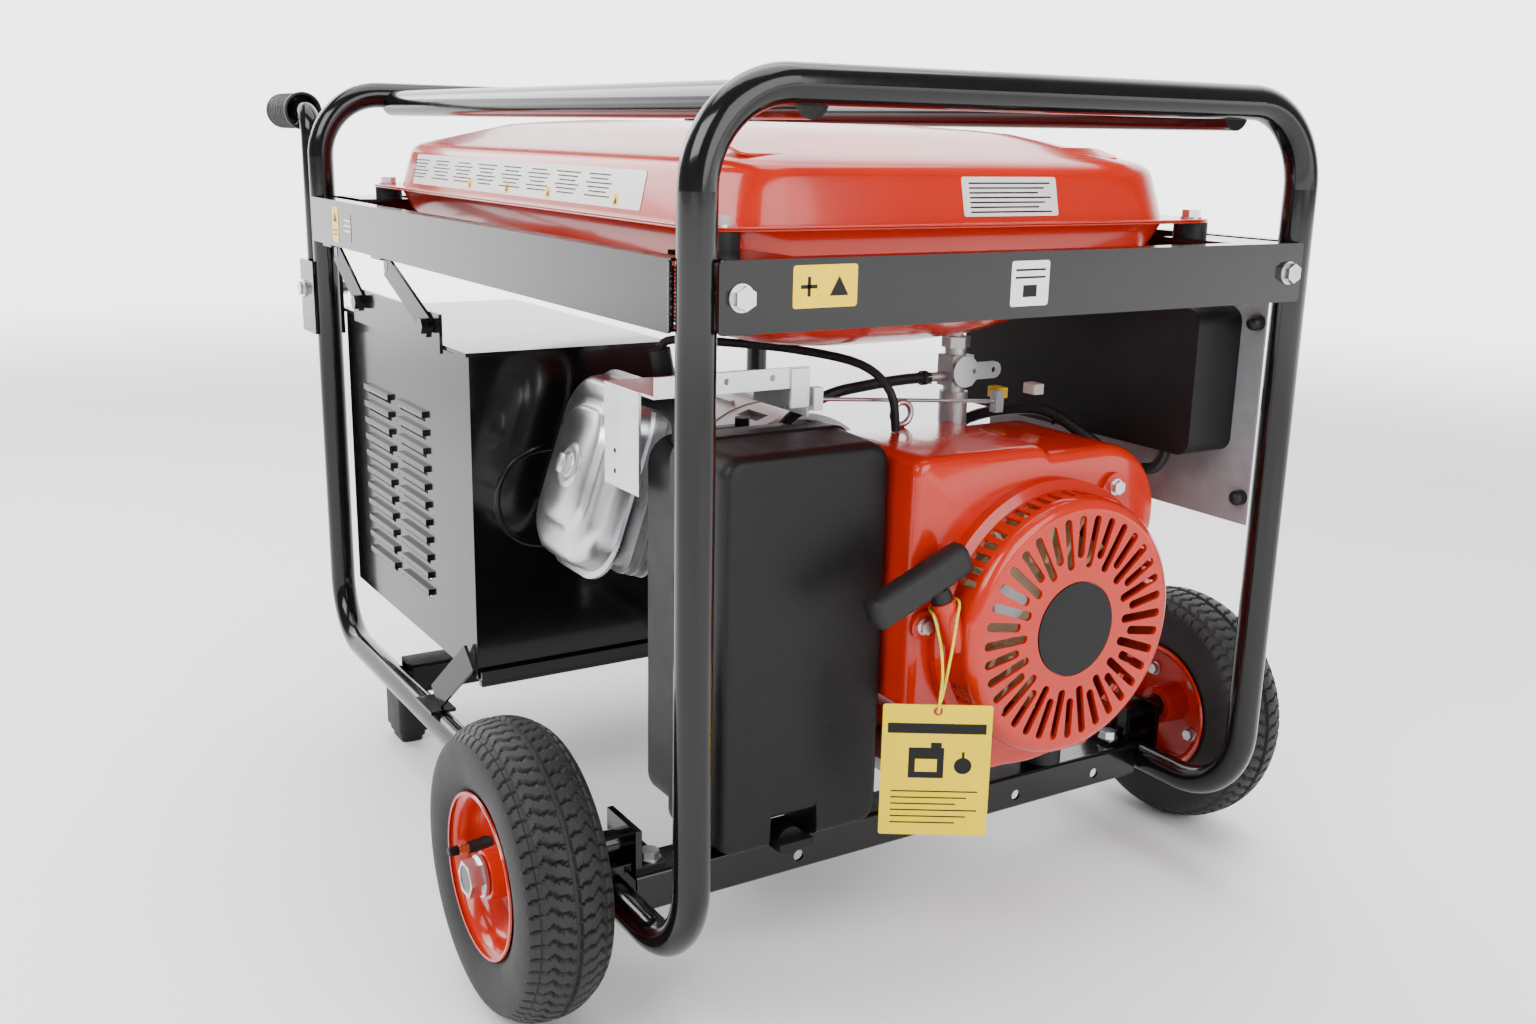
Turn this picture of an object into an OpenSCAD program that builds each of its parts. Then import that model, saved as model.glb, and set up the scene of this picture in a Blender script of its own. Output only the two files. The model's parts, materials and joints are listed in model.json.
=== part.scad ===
// Open-frame portable generator, 2.50-4 wheels, fold handles.
// Millimetres, +Z up, floor at z = 0, +X towards the recoil starter,
// -Y is the air cleaner and silencer side, +Y the socket panel side.

/* [Frame] */
// Distance between front and rear posts, centre to centre
frame_len = 788; // [780:1:800]
// Distance between near and far posts, centre to centre
frame_wid = 524; // [522:1:534]
// Height of the centre line of the top tube
top_z = 644; // [644:1:670]
// Height of the centre line of the lower rails
rail_z = 76; // [74:1:76]
// Diameter of the frame tube
tube_d = 25; // [22:0.5:25]
// Centre line radius of the tube bends
bend_r = 62; // [56:1:64]
// Distance of the top rails inside the posts
rail_in = 78; // [76:1:90]
// Height of the sheet steel beams
beam_h = 44; // [36:1:46]

/* [Wheels] */
// Outer diameter of the tyre
wheel_d = 215; // [210:1:215]
// Width of the tyre
tyre_w = 64; // [56:1:66]
// Distance of the tyre centre plane from the middle of the machine
wheel_y = 329; // [329:1:336]
// Axle position along the machine, from the middle of the frame
axle_x = 260; // [256:1:262]

/* [Handles] */
// Height of the fold pivot
pivot_z = 447; // [440:1:456]
// Length of the arm above the pivot
arm_len = 180; // [160:1:186]
// Length of the rubber grip
grip_len = 94; // [80:1:100]

/* [Tank] */
// Length of the fuel tank body
tank_len = 664; // [640:1:668]
// Width of the fuel tank body
tank_wid = 426; // [400:1:430]
// Height of the tank seam flange
seam_z = 556; // [556:1:560]
// Height of the tank crown above the seam
crown_h = 66; // [50:1:66]

/* [Engine] */
// Crankshaft centre, across the machine
crank_y = 82; // [80:1:84]
// Crankshaft centre height
crank_z = 253; // [251:1:255]
// Radius of the recoil starter cover
recoil_r = 100; // [92:1:100]
// Number of slots in the recoil cover face
slot_n = 36; // [24:2:40]

/* [Output] */
// Which sub-part to draw

/* [Hidden] */
$fn = 64;
tube_r = tube_d / 2;
hl = frame_len / 2;
hw = frame_wid / 2;
reach_rear = hl + 31 + 16 + grip_len; // grip end, from the middle of the frame
reach_front = hl + tube_r + 2 + 1.2 + 13 * 0.42; // bolt heads on the front beam
shift_x = (reach_rear - reach_front) / 2;
beam_t = 2;
beam_top = top_z - 101;
beam_lap = 7;       // beam ends stop this far from the post centre line
flange_w = 14;
cross_top = 92;
foot_plate_z = 60.5; // underside of the plates the rubber feet are screwed to
engine_base_z = 114;
bolt_in = 22;       // beam bolts sit this far from the post centre line
tank_bolt_x = tank_len / 2 + 2;
tank_bolt_y = tank_wid / 2 - 1;
wheel_r = wheel_d / 2;
stub_r = 10;
bore_gap = 0.05;
pivot_x = -hl - 31;
arm_r = 10.5;
arm_z = pivot_z + arm_len;
recoil_x = 375;     // recoil cover face, from the middle of the frame
shroud_x = 334;
steel_black = [0.05, 0.05, 0.055];
zinc = [0.75, 0.76, 0.78];
alu = [0.68, 0.69, 0.71];
red = [0.82, 0.1, 0.04];
plastic = [0.08, 0.08, 0.085];
rubber = [0.04, 0.04, 0.045];

// ---------------------------------------------------------------- helpers
module place() translate([shift_x, 0, 0]) children();
module far() mirror([0, 1, 0]) children();
module both_sides() { children(); mirror([0, 1, 0]) children(); }
module both_ends() { children(); mirror([1, 0, 0]) children(); }
module to_x() rotate([90, 0, 90]) children();    // local x,y,z -> Y,Z,X
module to_y() rotate([90, 0, 0]) children();     // local x,y,z -> X,Z,-Y

module rsq(w, h, r) {
    square([w - 2 * r, h], center = true);
    square([w, h - 2 * r], center = true);
    for (i = [-1, 1], j = [-1, 1])
        translate([i * (w / 2 - r), j * (h / 2 - r)]) circle(r);
}
module rbox(w, h, t, r) linear_extrude(t) rsq(w, h, r);
module pipe(r, h, r_in) difference() { cylinder(h = h, r = r);
    translate([0, 0, -1]) cylinder(h = h + 2, r = r_in); }
// Flanged hex bolt: head along +Z from the origin, shank below it
module hex_bolt(af, shank_r, shank_l) {
    cylinder(h = 1.2, r = af * 0.66);
    translate([0, 0, 1.2]) cylinder(h = af * 0.42, r = af * 0.577, $fn = 6);
    translate([0, 0, -shank_l]) cylinder(h = shank_l + 0.5, r = shank_r);
}
module bend(a = 90) rotate_extrude(angle = a) translate([bend_r, 0]) circle(tube_r);

// ---------------------------------------------------------------- frame
module hoop(s) color(steel_black) place() translate([s * hl, 0, 0]) {
    both_sides() {
        translate([0, hw, rail_z + bend_r]) cylinder(h = top_z - rail_z - 2 * bend_r, r = tube_r);
        translate([0, hw - bend_r, top_z - bend_r]) to_x() bend();
    }
    translate([0, hw - bend_r, top_z]) to_y() cylinder(h = frame_wid - 2 * bend_r, r = tube_r);
}
module hoop_front() hoop(1);
module hoop_rear() hoop(-1);
module low_rails() color(steel_black) place() both_sides() translate([0, hw, 0]) {
    both_ends() translate([hl - bend_r, 0, rail_z + bend_r]) mirror([0, 0, 1]) to_y() bend();
    translate([-hl + bend_r, 0, rail_z]) rotate([0, 90, 0])
        cylinder(h = frame_len - 2 * bend_r, r = tube_r);
}
module top_rails() color(steel_black) place() both_sides() difference() {
    translate([-hl, hw - rail_in, top_z - 8]) rotate([0, 90, 0]) cylinder(h = frame_len, r = tube_r);
    both_ends() translate([hl, hw, top_z]) to_y() cylinder(h = frame_wid, r = tube_r + 0.02);
    both_ends() translate([hl, -20, top_z - 60]) cube([40, frame_wid, 90]);
}
// C section beam of length l along X, web outer face at y = 0, flanges towards +Y
module channel(l, bolted) {
    translate([0, beam_t, -beam_h / 2]) to_y() linear_extrude(beam_t) difference() {
        rsq(l, beam_h, 3);
        if (bolted) for (s = [-1, 1]) translate([s * (l / 2 + beam_lap - bolt_in), 0]) circle(4.2);
    }
    for (z = [-beam_t, -beam_h])
        translate([-l / 2 + 7, beam_t - 0.5, z]) cube([l - 14, flange_w, beam_t]);
}
module side_beams() color(steel_black) place() both_sides()
    translate([0, -hw - tube_r - beam_t, beam_top]) channel(frame_len - 2 * beam_lap, false);
module end_beams() color(steel_black) place() both_ends() {
    translate([hl + tube_r + beam_t, 0, beam_top]) rotate([0, 0, 90]) channel(frame_wid - 2 * beam_lap, true);
    both_sides() difference() {
        translate([hl - 70, -hw + 18, beam_top - 3]) cube([72, 50, 3]);
        translate([tank_bolt_x, -tank_bolt_y, beam_top - 10]) cylinder(h = 20, r = 4.2);
    }
}
module cross_section() difference() {
    rsq(36, 30, 3);
    translate([0, -3]) rsq(31, 29, 1);
}
module cross_bar(x) color(steel_black) place() difference() {
    translate([x, hw - tube_r - 0.02, cross_top - 15]) to_y()
        linear_extrude(frame_wid - 2 * tube_r - 0.04) cross_section();
    for (y = [-150, -60, 60, 150]) translate([x - 9, y, 0]) cube([18, 9, 200]);
    for (y = [-200, -110, 0, 110, 200]) translate([x + 5, y, cross_top - 18]) rotate([0, 90, 0])
        cylinder(h = 30, r = 4.5);
}
module cross_front() cross_bar(273);
module cross_rear() {
    cross_bar(-222);
    color(steel_black) place() both_sides()
        translate([-249, -243, foot_plate_z]) rbox(46, 30, cross_top - 30 - 0.02 - foot_plate_z, 4);
}
module rubber_feet() color(rubber) place() both_sides() translate([-249, -243, 0]) difference() {
    union() {
        translate([0, 0, 12]) rbox(48, 30, foot_plate_z - 0.05 - 12, 6);
        translate([0, 0, 6]) rbox(42, 26, 7, 6);
        rbox(36, 22, 7, 6);
    }
    translate([0, 0, 20]) cylinder(h = 80, r = 5);
}
// Stub axle and the saddle that carries it over the lower rail
module axle_brackets() color(steel_black) place() both_sides() translate([axle_x, 0, 0]) {
    translate([-24, -247, cross_top + 0.1]) cube([48, 5, 32]);
    translate([-24, -284, rail_z - 6]) cube([48, 5, 50]);
    translate([-20, -279.5, cross_top + 0.1]) cube([40, 33, 6]);
    translate([0, -238, wheel_r]) to_y() cylinder(h = wheel_y + 38 - 238, r = stub_r);
    translate([-24, -247, cross_top + 0.1]) cube([48, 24, 3.5]);
}
module fasteners() color(zinc) place() {
    both_sides() both_ends() {
        translate([hl + tube_r + beam_t, -hw + bolt_in, beam_top - beam_h / 2])
            rotate([0, 90, 0]) hex_bolt(13, 4, 9);
        translate([tank_bolt_x, -tank_bolt_y, seam_z + 1.5]) hex_bolt(13, 4, 14);
    }
    both_sides() {
        translate([axle_x, -wheel_y - 26.2, wheel_r]) to_y() difference() {
            union() { cylinder(h = 2.4, r = 15); translate([0, 0, 2.4]) cylinder(h = 10, r = 13.5, $fn = 6); }
            translate([0, 0, -1]) cylinder(h = 20, r = stub_r + 0.02);
        }
        translate([axle_x + 14, -231, cross_top + 3.6]) hex_bolt(13, 4, 0);
        translate([pivot_x, -hw, pivot_z]) {
            translate([0, tube_r + 3.2, 0]) to_y() cylinder(h = 2 * tube_r + 6.4, r = 4.05);
            translate([0, -tube_r - 3.1, 0]) to_y() { cylinder(h = 2, r = 9.5); cylinder(h = 6, r = 7); }
            translate([0, tube_r + 16, 0]) to_y() cylinder(h = 12.9, r = 8);
        }
    }
    for (a = [55:120:295]) translate([shroud_x + 4.2, crank_y + 118 * cos(a), crank_z + 118 * sin(a)])
        rotate([0, 90, 0]) hex_bolt(10, 2.8, 6);
}

// ---------------------------------------------------------------- wheels
module tyre() color(rubber) place() translate([axle_x, -wheel_y, wheel_r]) to_y() rotate_extrude($fn = 96)
    difference() {
        intersection() {
            translate([wheel_r - 35, 0]) circle(35.5);
            translate([53.6, -tyre_w / 2]) square([wheel_r - 53.6, tyre_w]);
        }
        intersection() {
            translate([wheel_r - 36, 0]) circle(22);
            translate([40, -22]) square([wheel_r - 46, 44]);
        }
        translate([40, -18]) square([30, 36]);
        for (s = [-1, 1]) translate([40, s * 31.9 - 8.2]) square([20.2, 16.4]);
    }
module rim() color(red) place() translate([axle_x, -wheel_y, wheel_r]) to_y() {
    difference() {
        rotate_extrude() union() {
            translate([50.5, -27]) square([3, 54]);
            for (s = [-1, 1]) {
                translate([53.5, s > 0 ? 24 : -27]) square([3.5, 3]);
                translate([57, s * 26.8]) circle(2.8);
            }
            translate([stub_r + bore_gap, -25]) square([7, 50]);
            translate([16, -2.5]) square([36, 5]);
            translate([42, -2.5]) rotate(45) square([4, 4]);
        }
        for (a = [0:90:270]) rotate(a + 45) translate([35, 0, -10]) cylinder(h = 20, r = 3.6);
    }
    for (a = [0:90:270]) rotate(a + 45) translate([35, 0, 0]) {
        translate([0, 0, -7]) cylinder(h = 14, r = 3.5);
        for (s = [-1, 1]) scale([1, 1, s]) translate([0, 0, 2.6]) cylinder(h = 4.4, r = 6.3, $fn = 6);
    }
    translate([44, 0, 0]) { cylinder(h = 26, r = 4); translate([0, 0, 18]) cylinder(h = 17, r = 5); }
}
module tyre_near() tyre();
module rim_near() rim();
module tyre_far() far() tyre();
module rim_far() far() rim();

// ---------------------------------------------------------------- fold handles
module handle_brackets() color(steel_black) place() both_sides() translate([pivot_x, -hw, pivot_z])
    for (s = [-1, 1]) difference() {
        translate([-14, s > 0 ? tube_r : -tube_r - 3, -45]) cube([48, 3, 75]);
        translate([0, 0, 0]) to_y() cylinder(h = 60, r = 4.1, center = true);
    }
module handle_arm() color(steel_black) place() translate([pivot_x, -hw, 0]) difference() {
    union() {
        translate([0, 0, pivot_z - 12]) cylinder(h = arm_len + 12 - 24, r = arm_r);
        translate([-24, 0, arm_z - 24]) to_y() rotate_extrude(angle = 90) translate([24, 0]) circle(arm_r);
        translate([-24, 0, arm_z]) rotate([0, -90, 0]) cylinder(h = grip_len - 14, r = arm_r);
    }
    translate([0, 0, pivot_z]) to_y() cylinder(h = 60, r = 4.08 + bore_gap, center = true);
}
module handle_grip() color(rubber) place() translate([pivot_x - 16, -hw, arm_z]) rotate([0, -90, 0])
    difference() {
        union() {
            translate([0, 0, 9]) cylinder(h = grip_len - 12, r = 17);
            translate([0, 0, 9]) cylinder(h = 4, r = 19.5);
            for (z = [20:7:grip_len - 12]) translate([0, 0, z]) cylinder(h = 3.4, r = 18.4);
            translate([0, 0, grip_len - 9]) cylinder(h = 9, r = 18.4);
        }
        translate([0, 0, -30]) cylinder(h = grip_len + 24, r = arm_r + 0.01);
    }
module handle_arm_near() handle_arm();
module handle_grip_near() handle_grip();
module handle_arm_far() far() handle_arm();
module handle_grip_far() far() handle_grip();

// ---------------------------------------------------------------- tank
crown_top = seam_z + 1.5 + crown_h;
module slab(z, w, h, r) translate([0, 0, z]) linear_extrude(0.5) rsq(w, h, r, $fn = 32);
module crown(d) hull() {
    slab(seam_z, tank_len - d, tank_wid - d, 52);
    slab(seam_z + 0.52 * crown_h - d / 2, tank_len - 16 - d, tank_wid - 16 - d, 50);
    slab(seam_z + 0.64 * crown_h - d / 2, tank_len - 34 - d, tank_wid - 34 - d, 46);
    slab(crown_top - 5 - d / 2, tank_len - 190, tank_wid - 150, 60);
    slab(crown_top - 0.5 - d / 2, tank_len - 330, tank_wid - 250, 50);
}
module sump(d) hull() {
    slab(seam_z - 0.5, tank_len - d, tank_wid - d, 52);
    slab(seam_z - 38 + d / 2, tank_len - 34 - d, tank_wid - 38 - d, 60);
    slab(seam_z - 84 + d / 2, tank_len - 150 - d, tank_wid - 160 - d, 60);
    slab(seam_z - 100 + d / 2, tank_len - 230, tank_wid - 240, 60);
}
module seam(t) linear_extrude(t) difference() {
    rsq(tank_len + 36, tank_wid + 30, 24);
    rsq(tank_len - 12, tank_wid - 12, 48);
    for (i = [-1, 1], j = [-1, 1]) translate([i * tank_bolt_x, j * tank_bolt_y]) circle(4.2);
}
module tank_upper() color(red) place() difference() {
    union() { translate([0, 0, seam_z]) seam(1.5); crown(0); }
    translate([0, 0, -1]) crown(3);
    translate([cap_x, 0, seam_z]) cylinder(h = 200, r = 21);
}
module tank_lower() color(red) place() difference() {
    union() { translate([0, 0, seam_z - 1.5]) seam(1.49); sump(0); }
    translate([0, 0, 1]) sump(3);
    translate([-450, -450, seam_z - 0.01]) cube([900, 900, 3]);
    translate([tap_x, tap_y, seam_z - 120]) cylinder(h = 60, r = 6.2);
}
cap_x = -40;
cap_z = crown_top + 0.5;
tap_x = 200;
tap_y = 93;
module tank_cap() color(plastic) place() translate([cap_x, 0, cap_z]) {
    cylinder(h = 9, r = 29);
    translate([0, 0, -9]) cylinder(h = 9.5, r = 20.5);
    for (a = [0:30:330]) rotate(a) translate([28, 0, 0]) cylinder(h = 8, r = 2.5);
}
module tank_pads() color(rubber) place() both_ends() both_sides()
    translate([tank_bolt_x, -tank_bolt_y, beam_top + 0.02]) pipe(13, seam_z - 1.5 - beam_top - 0.04, 4.02);

// ---------------------------------------------------------------- engine
cyl_x = 62;
cyl_tilt = 18.6;
module on_crank(x) translate([x, crank_y, crank_z]) rotate([90, 0, 90]) children();
module on_cylinder() translate([cyl_x, crank_y, crank_z]) rotate([90 - cyl_tilt, 0, 0]) children();
module rod(p, q, r) {
    v = q - p;
    translate(p) rotate([0, acos(v[2] / norm(v)), atan2(v[1], v[0])]) cylinder(h = norm(v), r = r);
}
// Round tube swept along a smooth curve through a few chosen points
function unit(v) = v / norm(v);
function spline(p, i, t) = let (a = p[max(i - 1, 0)], b = p[i], c = p[i + 1], d = p[min(i + 2, len(p) - 1)])
    0.5 * (2 * b + (c - a) * t + (2 * a - 5 * b + 4 * c - d) * t * t + (3 * b - a - 3 * c + d) * t * t * t);
function path(p, n) = concat([for (i = [0:len(p) - 2], k = [0:n - 1]) spline(p, i, k / n)], [p[len(p) - 1]]);
function heading(q, i) = unit(q[min(i + 1, len(q) - 1)] - q[max(i - 1, 0)]);
function across(s, d) = unit(s - (s * d) * d);
function ring_sides(q) = [for (i = 0, s = across([0.3, 0.5, 0.81], heading(q, 0)); i < len(q);
    i = i + 1, s = across(s, heading(q, min(i, len(q) - 1)))) s];
module tube(p, r, steps = 5, n = 10) {
    q = path(p, steps);
    m = len(q);
    s = ring_sides(q);
    polyhedron(points = [for (i = [0:m - 1], k = [0:n - 1]) let (u = cross(heading(q, i), s[i]))
            q[i] + r * (s[i] * cos(k * 360 / n) + u * sin(k * 360 / n))],
        faces = concat([for (i = [0:m - 2], k = [0:n - 1])
                [i * n + k, (i + 1) * n + k, (i + 1) * n + (k + 1) % n, i * n + (k + 1) % n]],
            [[for (k = [0:n - 1]) k]], [[for (k = [n - 1:-1:0]) (m - 1) * n + k]]));
}
module crankcase() color(alu) place() difference() {
    union() {
        on_crank(-18) linear_extrude(226) { circle(90); translate([-90, -118]) square([180, 118]); }
        on_cylinder() translate([0, 0, 60]) rbox(118, 122, 40, 12);
        translate([60, crank_y - 98, engine_base_z]) cube([230, 196, 10]);
        translate([60, crank_y - 80, engine_base_z + 9]) cube([148, 160, 20]);
        on_crank(208) linear_extrude(9) circle(97);
    }
    on_crank(-30) cylinder(h = 260, r = 17 + bore_gap);
    on_crank(-8) cylinder(h = 200, r = 78);
    on_cylinder() translate([0, 0, 40]) cylinder(h = 80, r = 42);
    translate([150, crank_y - 40, crank_z - 60]) rotate([90, 0, 0]) cylinder(h = 80, r = 10.05);
}
module engine_mounts() color(rubber) place() {
    for (y = [-70, 70]) translate([273, crank_y + y, cross_top + 0.02])
        cylinder(h = engine_base_z - cross_top - 0.04, r = 17);
    for (y = [-60, 60]) translate([-222, crank_y + y, cross_top + 0.02]) cylinder(h = 35, r = 17);
}
module cylinder_head() color(alu) place() on_cylinder() difference() {
    union() {
        translate([0, 0, 100.2]) cylinder(h = 124, r = 50);
        for (z = [106:9:214]) translate([0, 0, z]) rbox(120, 124, 3, 14);
        translate([0, 0, 224]) rbox(124, 134, 36, 16);
        for (z = [229:9:250]) translate([0, 0, z]) rbox(134, 144, 3, 16);
        translate([-78, 10, 222]) rotate([0, 90, 0]) cylinder(h = 40, r = 18);
    }
    translate([0, 0, 90]) cylinder(h = 132, r = 43);
}
module rocker_cover() color(zinc) place() on_cylinder() translate([0, 0, 260.2]) {
    rbox(132, 172, 3, 44);
    for (i = [0:5]) translate([0, 0, 3 + i * 4]) rbox(118 - i * i * 0.9, 158 - i * i * 0.9, 4.01, 38);
    translate([0, 0, 26.9]) rbox(72, 96, 6, 26);
    translate([0, 0, 32.8]) hex_bolt(14, 4, 1);
}
module wiring() color(rubber) place() {
    on_cylinder() translate([13, 81.5, 232]) rotate([-60, 0, 0]) cylinder(h = 36, r = 9);
    tube([[75, -119.4, 440.6], [80, -110, 447.5], [112, -80, 448], [160, -40, 446], [215, -14, 440],
          [237, 0, 420], [240, 4, 389.6]], 3.6);
    tube([[318, 222, 372.5], [318, 222, 364], [310, 218, 352], [288, 208, 352], [262, 186, 374],
          [225, 165, 392], [175, 130, 378], [150, 118, 342]], 5);
}
module blower_shroud() color(red) place() difference() {
    union() {
        on_crank(217.3) linear_extrude(shroud_x - 217.3) shroud_outline(0);
        on_crank(shroud_x - 5) cylinder(h = 5, r = 134);
    }
    on_crank(220) linear_extrude(shroud_x - 3 - 220) shroud_outline(3);
    on_crank(200) cylinder(h = 60, r = 60);
    on_crank(300) cylinder(h = 60, r = 108);
    on_crank(300) for (a = [55:120:295]) rotate(a) translate([118, 0, 0]) cylinder(h = 60, r = 3);
}
module shroud_outline(d) {
    circle(128 - d);
    translate([-128 + d, -60]) square([128 - d, 196 - d]);
    translate([0, -60]) square([60, 190 - d]);
    translate([60, 70]) circle(60 - d);
    translate([-70 + d, -126 + d]) square([140 - 2 * d, 60]);
}
module face_slot(r0, r1, w) {
    translate([r0, -w / 2]) square([r1 - r0, w]);
    for (r = [r0, r1]) translate([r, 0]) circle(w / 2);
}
cover_d = recoil_x - shroud_x - 0.2; // depth of the recoil cover
module recoil_cover() color(red) place() on_crank(shroud_x + 0.2) difference() {
    union() {
        rotate_extrude($fn = 96) difference() {
            union() {
                polygon([[0, 0], [recoil_r + 10, 0], [recoil_r + 10, 8], [recoil_r + 2.5, 11],
                         [recoil_r + 2.5, cover_d - 10.2], [recoil_r - 7.7, cover_d], [0, cover_d]]);
                translate([recoil_r - 7.7, cover_d - 10.2]) circle(10.2);
            }
            polygon([[-1, -1], [recoil_r + 6.5, -1], [recoil_r + 6.5, 6], [recoil_r - 0.5, 9],
                     [recoil_r - 0.5, cover_d - 10.2], [recoil_r - 7.7, cover_d - 3], [-1, cover_d - 3]]);
        }
        for (a = [55:120:295]) rotate(a) translate([118, 0, 0]) difference() {
            union() { cylinder(h = 4, r = 11); translate([-10, -11, 0]) cube([10, 22, 4]); }
            translate([0, 0, -1]) cylinder(h = 8, r = 3);
        }
        rope_line() translate([0, 0, -44]) cylinder(h = 42, r = 9);
    }
    translate([0, 0, -1]) cylinder(h = cover_d - 2.5, r = recoil_r - 5);
    for (i = [0:slot_n - 1]) rotate(i * 360 / slot_n)
        translate([0, 0, cover_d - 20]) linear_extrude(40) face_slot(i % 2 == 0 ? 52 : 60, recoil_r - 14, 7);
    for (g = [22, 78, 110, 142, 214, 262, 322], i = [-2:2]) rotate(g + i * 6)
        translate([recoil_r - 20, -2.9, 12.5]) cube([40, 5.8, 17]);
    rope_line() translate([0, 0, -160]) cylinder(h = 200, r = 3.2);
    translate([0, 0, cover_d - 1.2]) cylinder(h = 5, r = 38);
}
// Frame of the starter rope, local z along the pull, origin at the guide mouth
rope_y = -34;
rope_z = 290;
rope_tilt = 23;
module rope_line() translate([rope_y - crank_y, rope_z - crank_z, rope_x - shroud_x - 0.2])
    rotate([0, 0, rope_tilt]) rotate([-90, 0, 0]) children();
rope_x = shroud_x + 21.2;
module recoil_disc() color(plastic) place() on_crank(recoil_x - 1.2) cylinder(h = 1.6, r = 37);
module starter_grip() color(rubber) place() on_crank(shroud_x + 0.2) rope_line() {
    translate([0, 0, 20]) difference() {
        translate([-62, 0, 0]) rotate([90, 0, 90]) linear_extrude(94) rsq(22, 26, 5);
        for (x = [-48:9:14]) translate([x, -12, -5]) cube([4.5, 4, 10]);
    }
    translate([0, 0, -120]) cylinder(h = 130, r = 2.6);
    translate([0, 0, -1.8]) cylinder(h = 10, r = 8);
}
module flywheel() color([0.72, 0.62, 0.48]) place() {
    on_crank(262) difference() { cylinder(h = 22, r = 96); translate([0, 0, -1]) cylinder(h = 30, r = 17.02); }
    on_crank(284) for (i = [0:15]) rotate(i * 22.5) translate([40, -2, 0]) rotate([0, 0, 14]) cube([48, 4, 38]);
    on_crank(284) pipe(44, 6, 17.02);
}
module rotor() color(zinc) place() {
    on_crank(-322) cylinder(h = 622, r = 17);
    on_crank(-262) difference() {
        cylinder(h = 130, r = 60);
        for (i = [0:3]) rotate(i * 90) translate([48, -9, -1]) cube([20, 18, 132]);
    }
}
module dipstick() color(plastic) place() translate([150, crank_y - 90.5, crank_z - 60]) rotate([90, 0, 0]) {
    translate([0, 0, -38]) cylinder(h = 39, r = 9.98);
    translate([0, 0, 0.5]) cylinder(h = 9, r = 14);
    translate([-3, -16, 3]) cube([6, 32, 9]);
}

// ---------------------------------------------------------------- carburettor
module carburettor() color(alu) place() translate([150, -118, 0]) difference() {
    union() {
        translate([-20, -24, 332]) cube([42, 48, 44]);
        translate([0, 0, 300]) cylinder(h = 32.5, r = 20);
        translate([22, 0, 354]) rotate([0, 90, 0]) cylinder(h = 17.5, r = 17);
        translate([-8, -14, 376]) cube([16, 28, 6]);
    }
    translate([-30, 0, 354]) rotate([0, 90, 0]) cylinder(h = 80, r = 11);
    translate([0, 0, 372]) cylinder(h = 12, r = 3.05);
}
module choke_lever() color(plastic) place() translate([150, -118, 0]) {
    translate([0, 0, 373]) cylinder(h = 16, r = 3);
    translate([-5, -5, 383.2]) cube([10, 40, 3]);
    translate([0, 35, 383.2]) cylinder(h = 9, r = 6);
}
// Sheet metal control bracket over the carburettor, with the governor rod clipped to it
module control_bracket() color(zinc) place() {
    difference() {
        union() {
            translate([142, -201, 427]) cube([80, 133.5, 2]);
            translate([142, -202, 350]) cube([58, 2, 79]);
            translate([142, -202, 350]) cube([2, 14, 79]);
            translate([220, -200, 427.5]) cube([2, 133, 15.5]);
            translate([221, -84, 412]) cube([3, 16.5, 30]);
            translate([142, -68, 404]) cube([79.5, 2, 24.5]);
        }
        for (y = [-180, -140, -100]) translate([214, y, 436]) rotate([0, 90, 0]) cylinder(h = 20, r = 2.5);
        for (z = [362, 378]) translate([160, -210, z]) rotate([-90, 0, 0]) cylinder(h = 20, r = 2);
        translate([176, -130, 420]) cylinder(h = 20, r = 9);
    }
    rod([224.5, -63, 417.6], [224.5, 119, 402], 1.6);
    for (y = [-65.9, 116]) translate([220.4, y, y < 0 ? 409 : 393]) cube([8, 8, 18]);
}

// ---------------------------------------------------------------- air cleaner
air_y = -121;
air_z = 248;
module air_shell(x, t, w, h, r, wall) translate([x, air_y, air_z]) rotate([90, 0, 90]) difference() {
    linear_extrude(t) rsq(w, h, r);
    translate([0, 0, wall]) linear_extrude(t) rsq(w - 2 * wall, h - 2 * wall, r - wall);
}
module air_base() color(plastic) place() difference() {
    union() {
        air_shell(192, 50, 138, 292, 22, 3);
        air_shell(236, 9, 148, 308, 18, 3);
    }
    translate([180, -118, 354]) rotate([0, 90, 0]) cylinder(h = 30, r = 12);
    translate([214, -172, 390]) cylinder(h = 30, r = 10.2);
    translate([196, air_y, air_z]) rotate([90, 0, 90]) linear_extrude(60) rsq(130, 284, 18);
}
module air_cover() color(plastic) place() difference() {
    union() {
        translate([310, air_y, air_z]) rotate([90, 0, -90]) {
            difference() {
                translate([0, 0, 4]) linear_extrude(60.8) rsq(148, 308, 16);
                translate([0, 0, 7]) linear_extrude(60) rsq(142, 302, 13);
            }
            translate([0, 0, 0]) linear_extrude(2) rsq(141, 301, 13);
            translate([0, 0, 2]) linear_extrude(2.1) rsq(145, 305, 15);
        }
        translate([247, -128 - 24, 94]) cube([61, 48, 26]);
    }
    translate([250, -128 - 20, 90]) cube([70, 40, 26]);
}
module air_knob() color(plastic) place() translate([0, -128, 98]) rotate([0, 90, 0]) {
    translate([0, 0, 292]) cylinder(h = 14, r = 11);
    translate([-3, -15, 300]) cube([6, 30, 15]);
    translate([0, 0, 250.5]) cylinder(h = 42, r = 4);
}
module breather_hose() color(rubber) place()
    tube([[214, -172, 391], [213, -172, 407], [196, -173, 416], [160, -172, 416], [146, -150, 416],
          [132, -124, 416.5], [113, -112, 413], [104, -114, 402]], 9, 5, 12);

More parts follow.
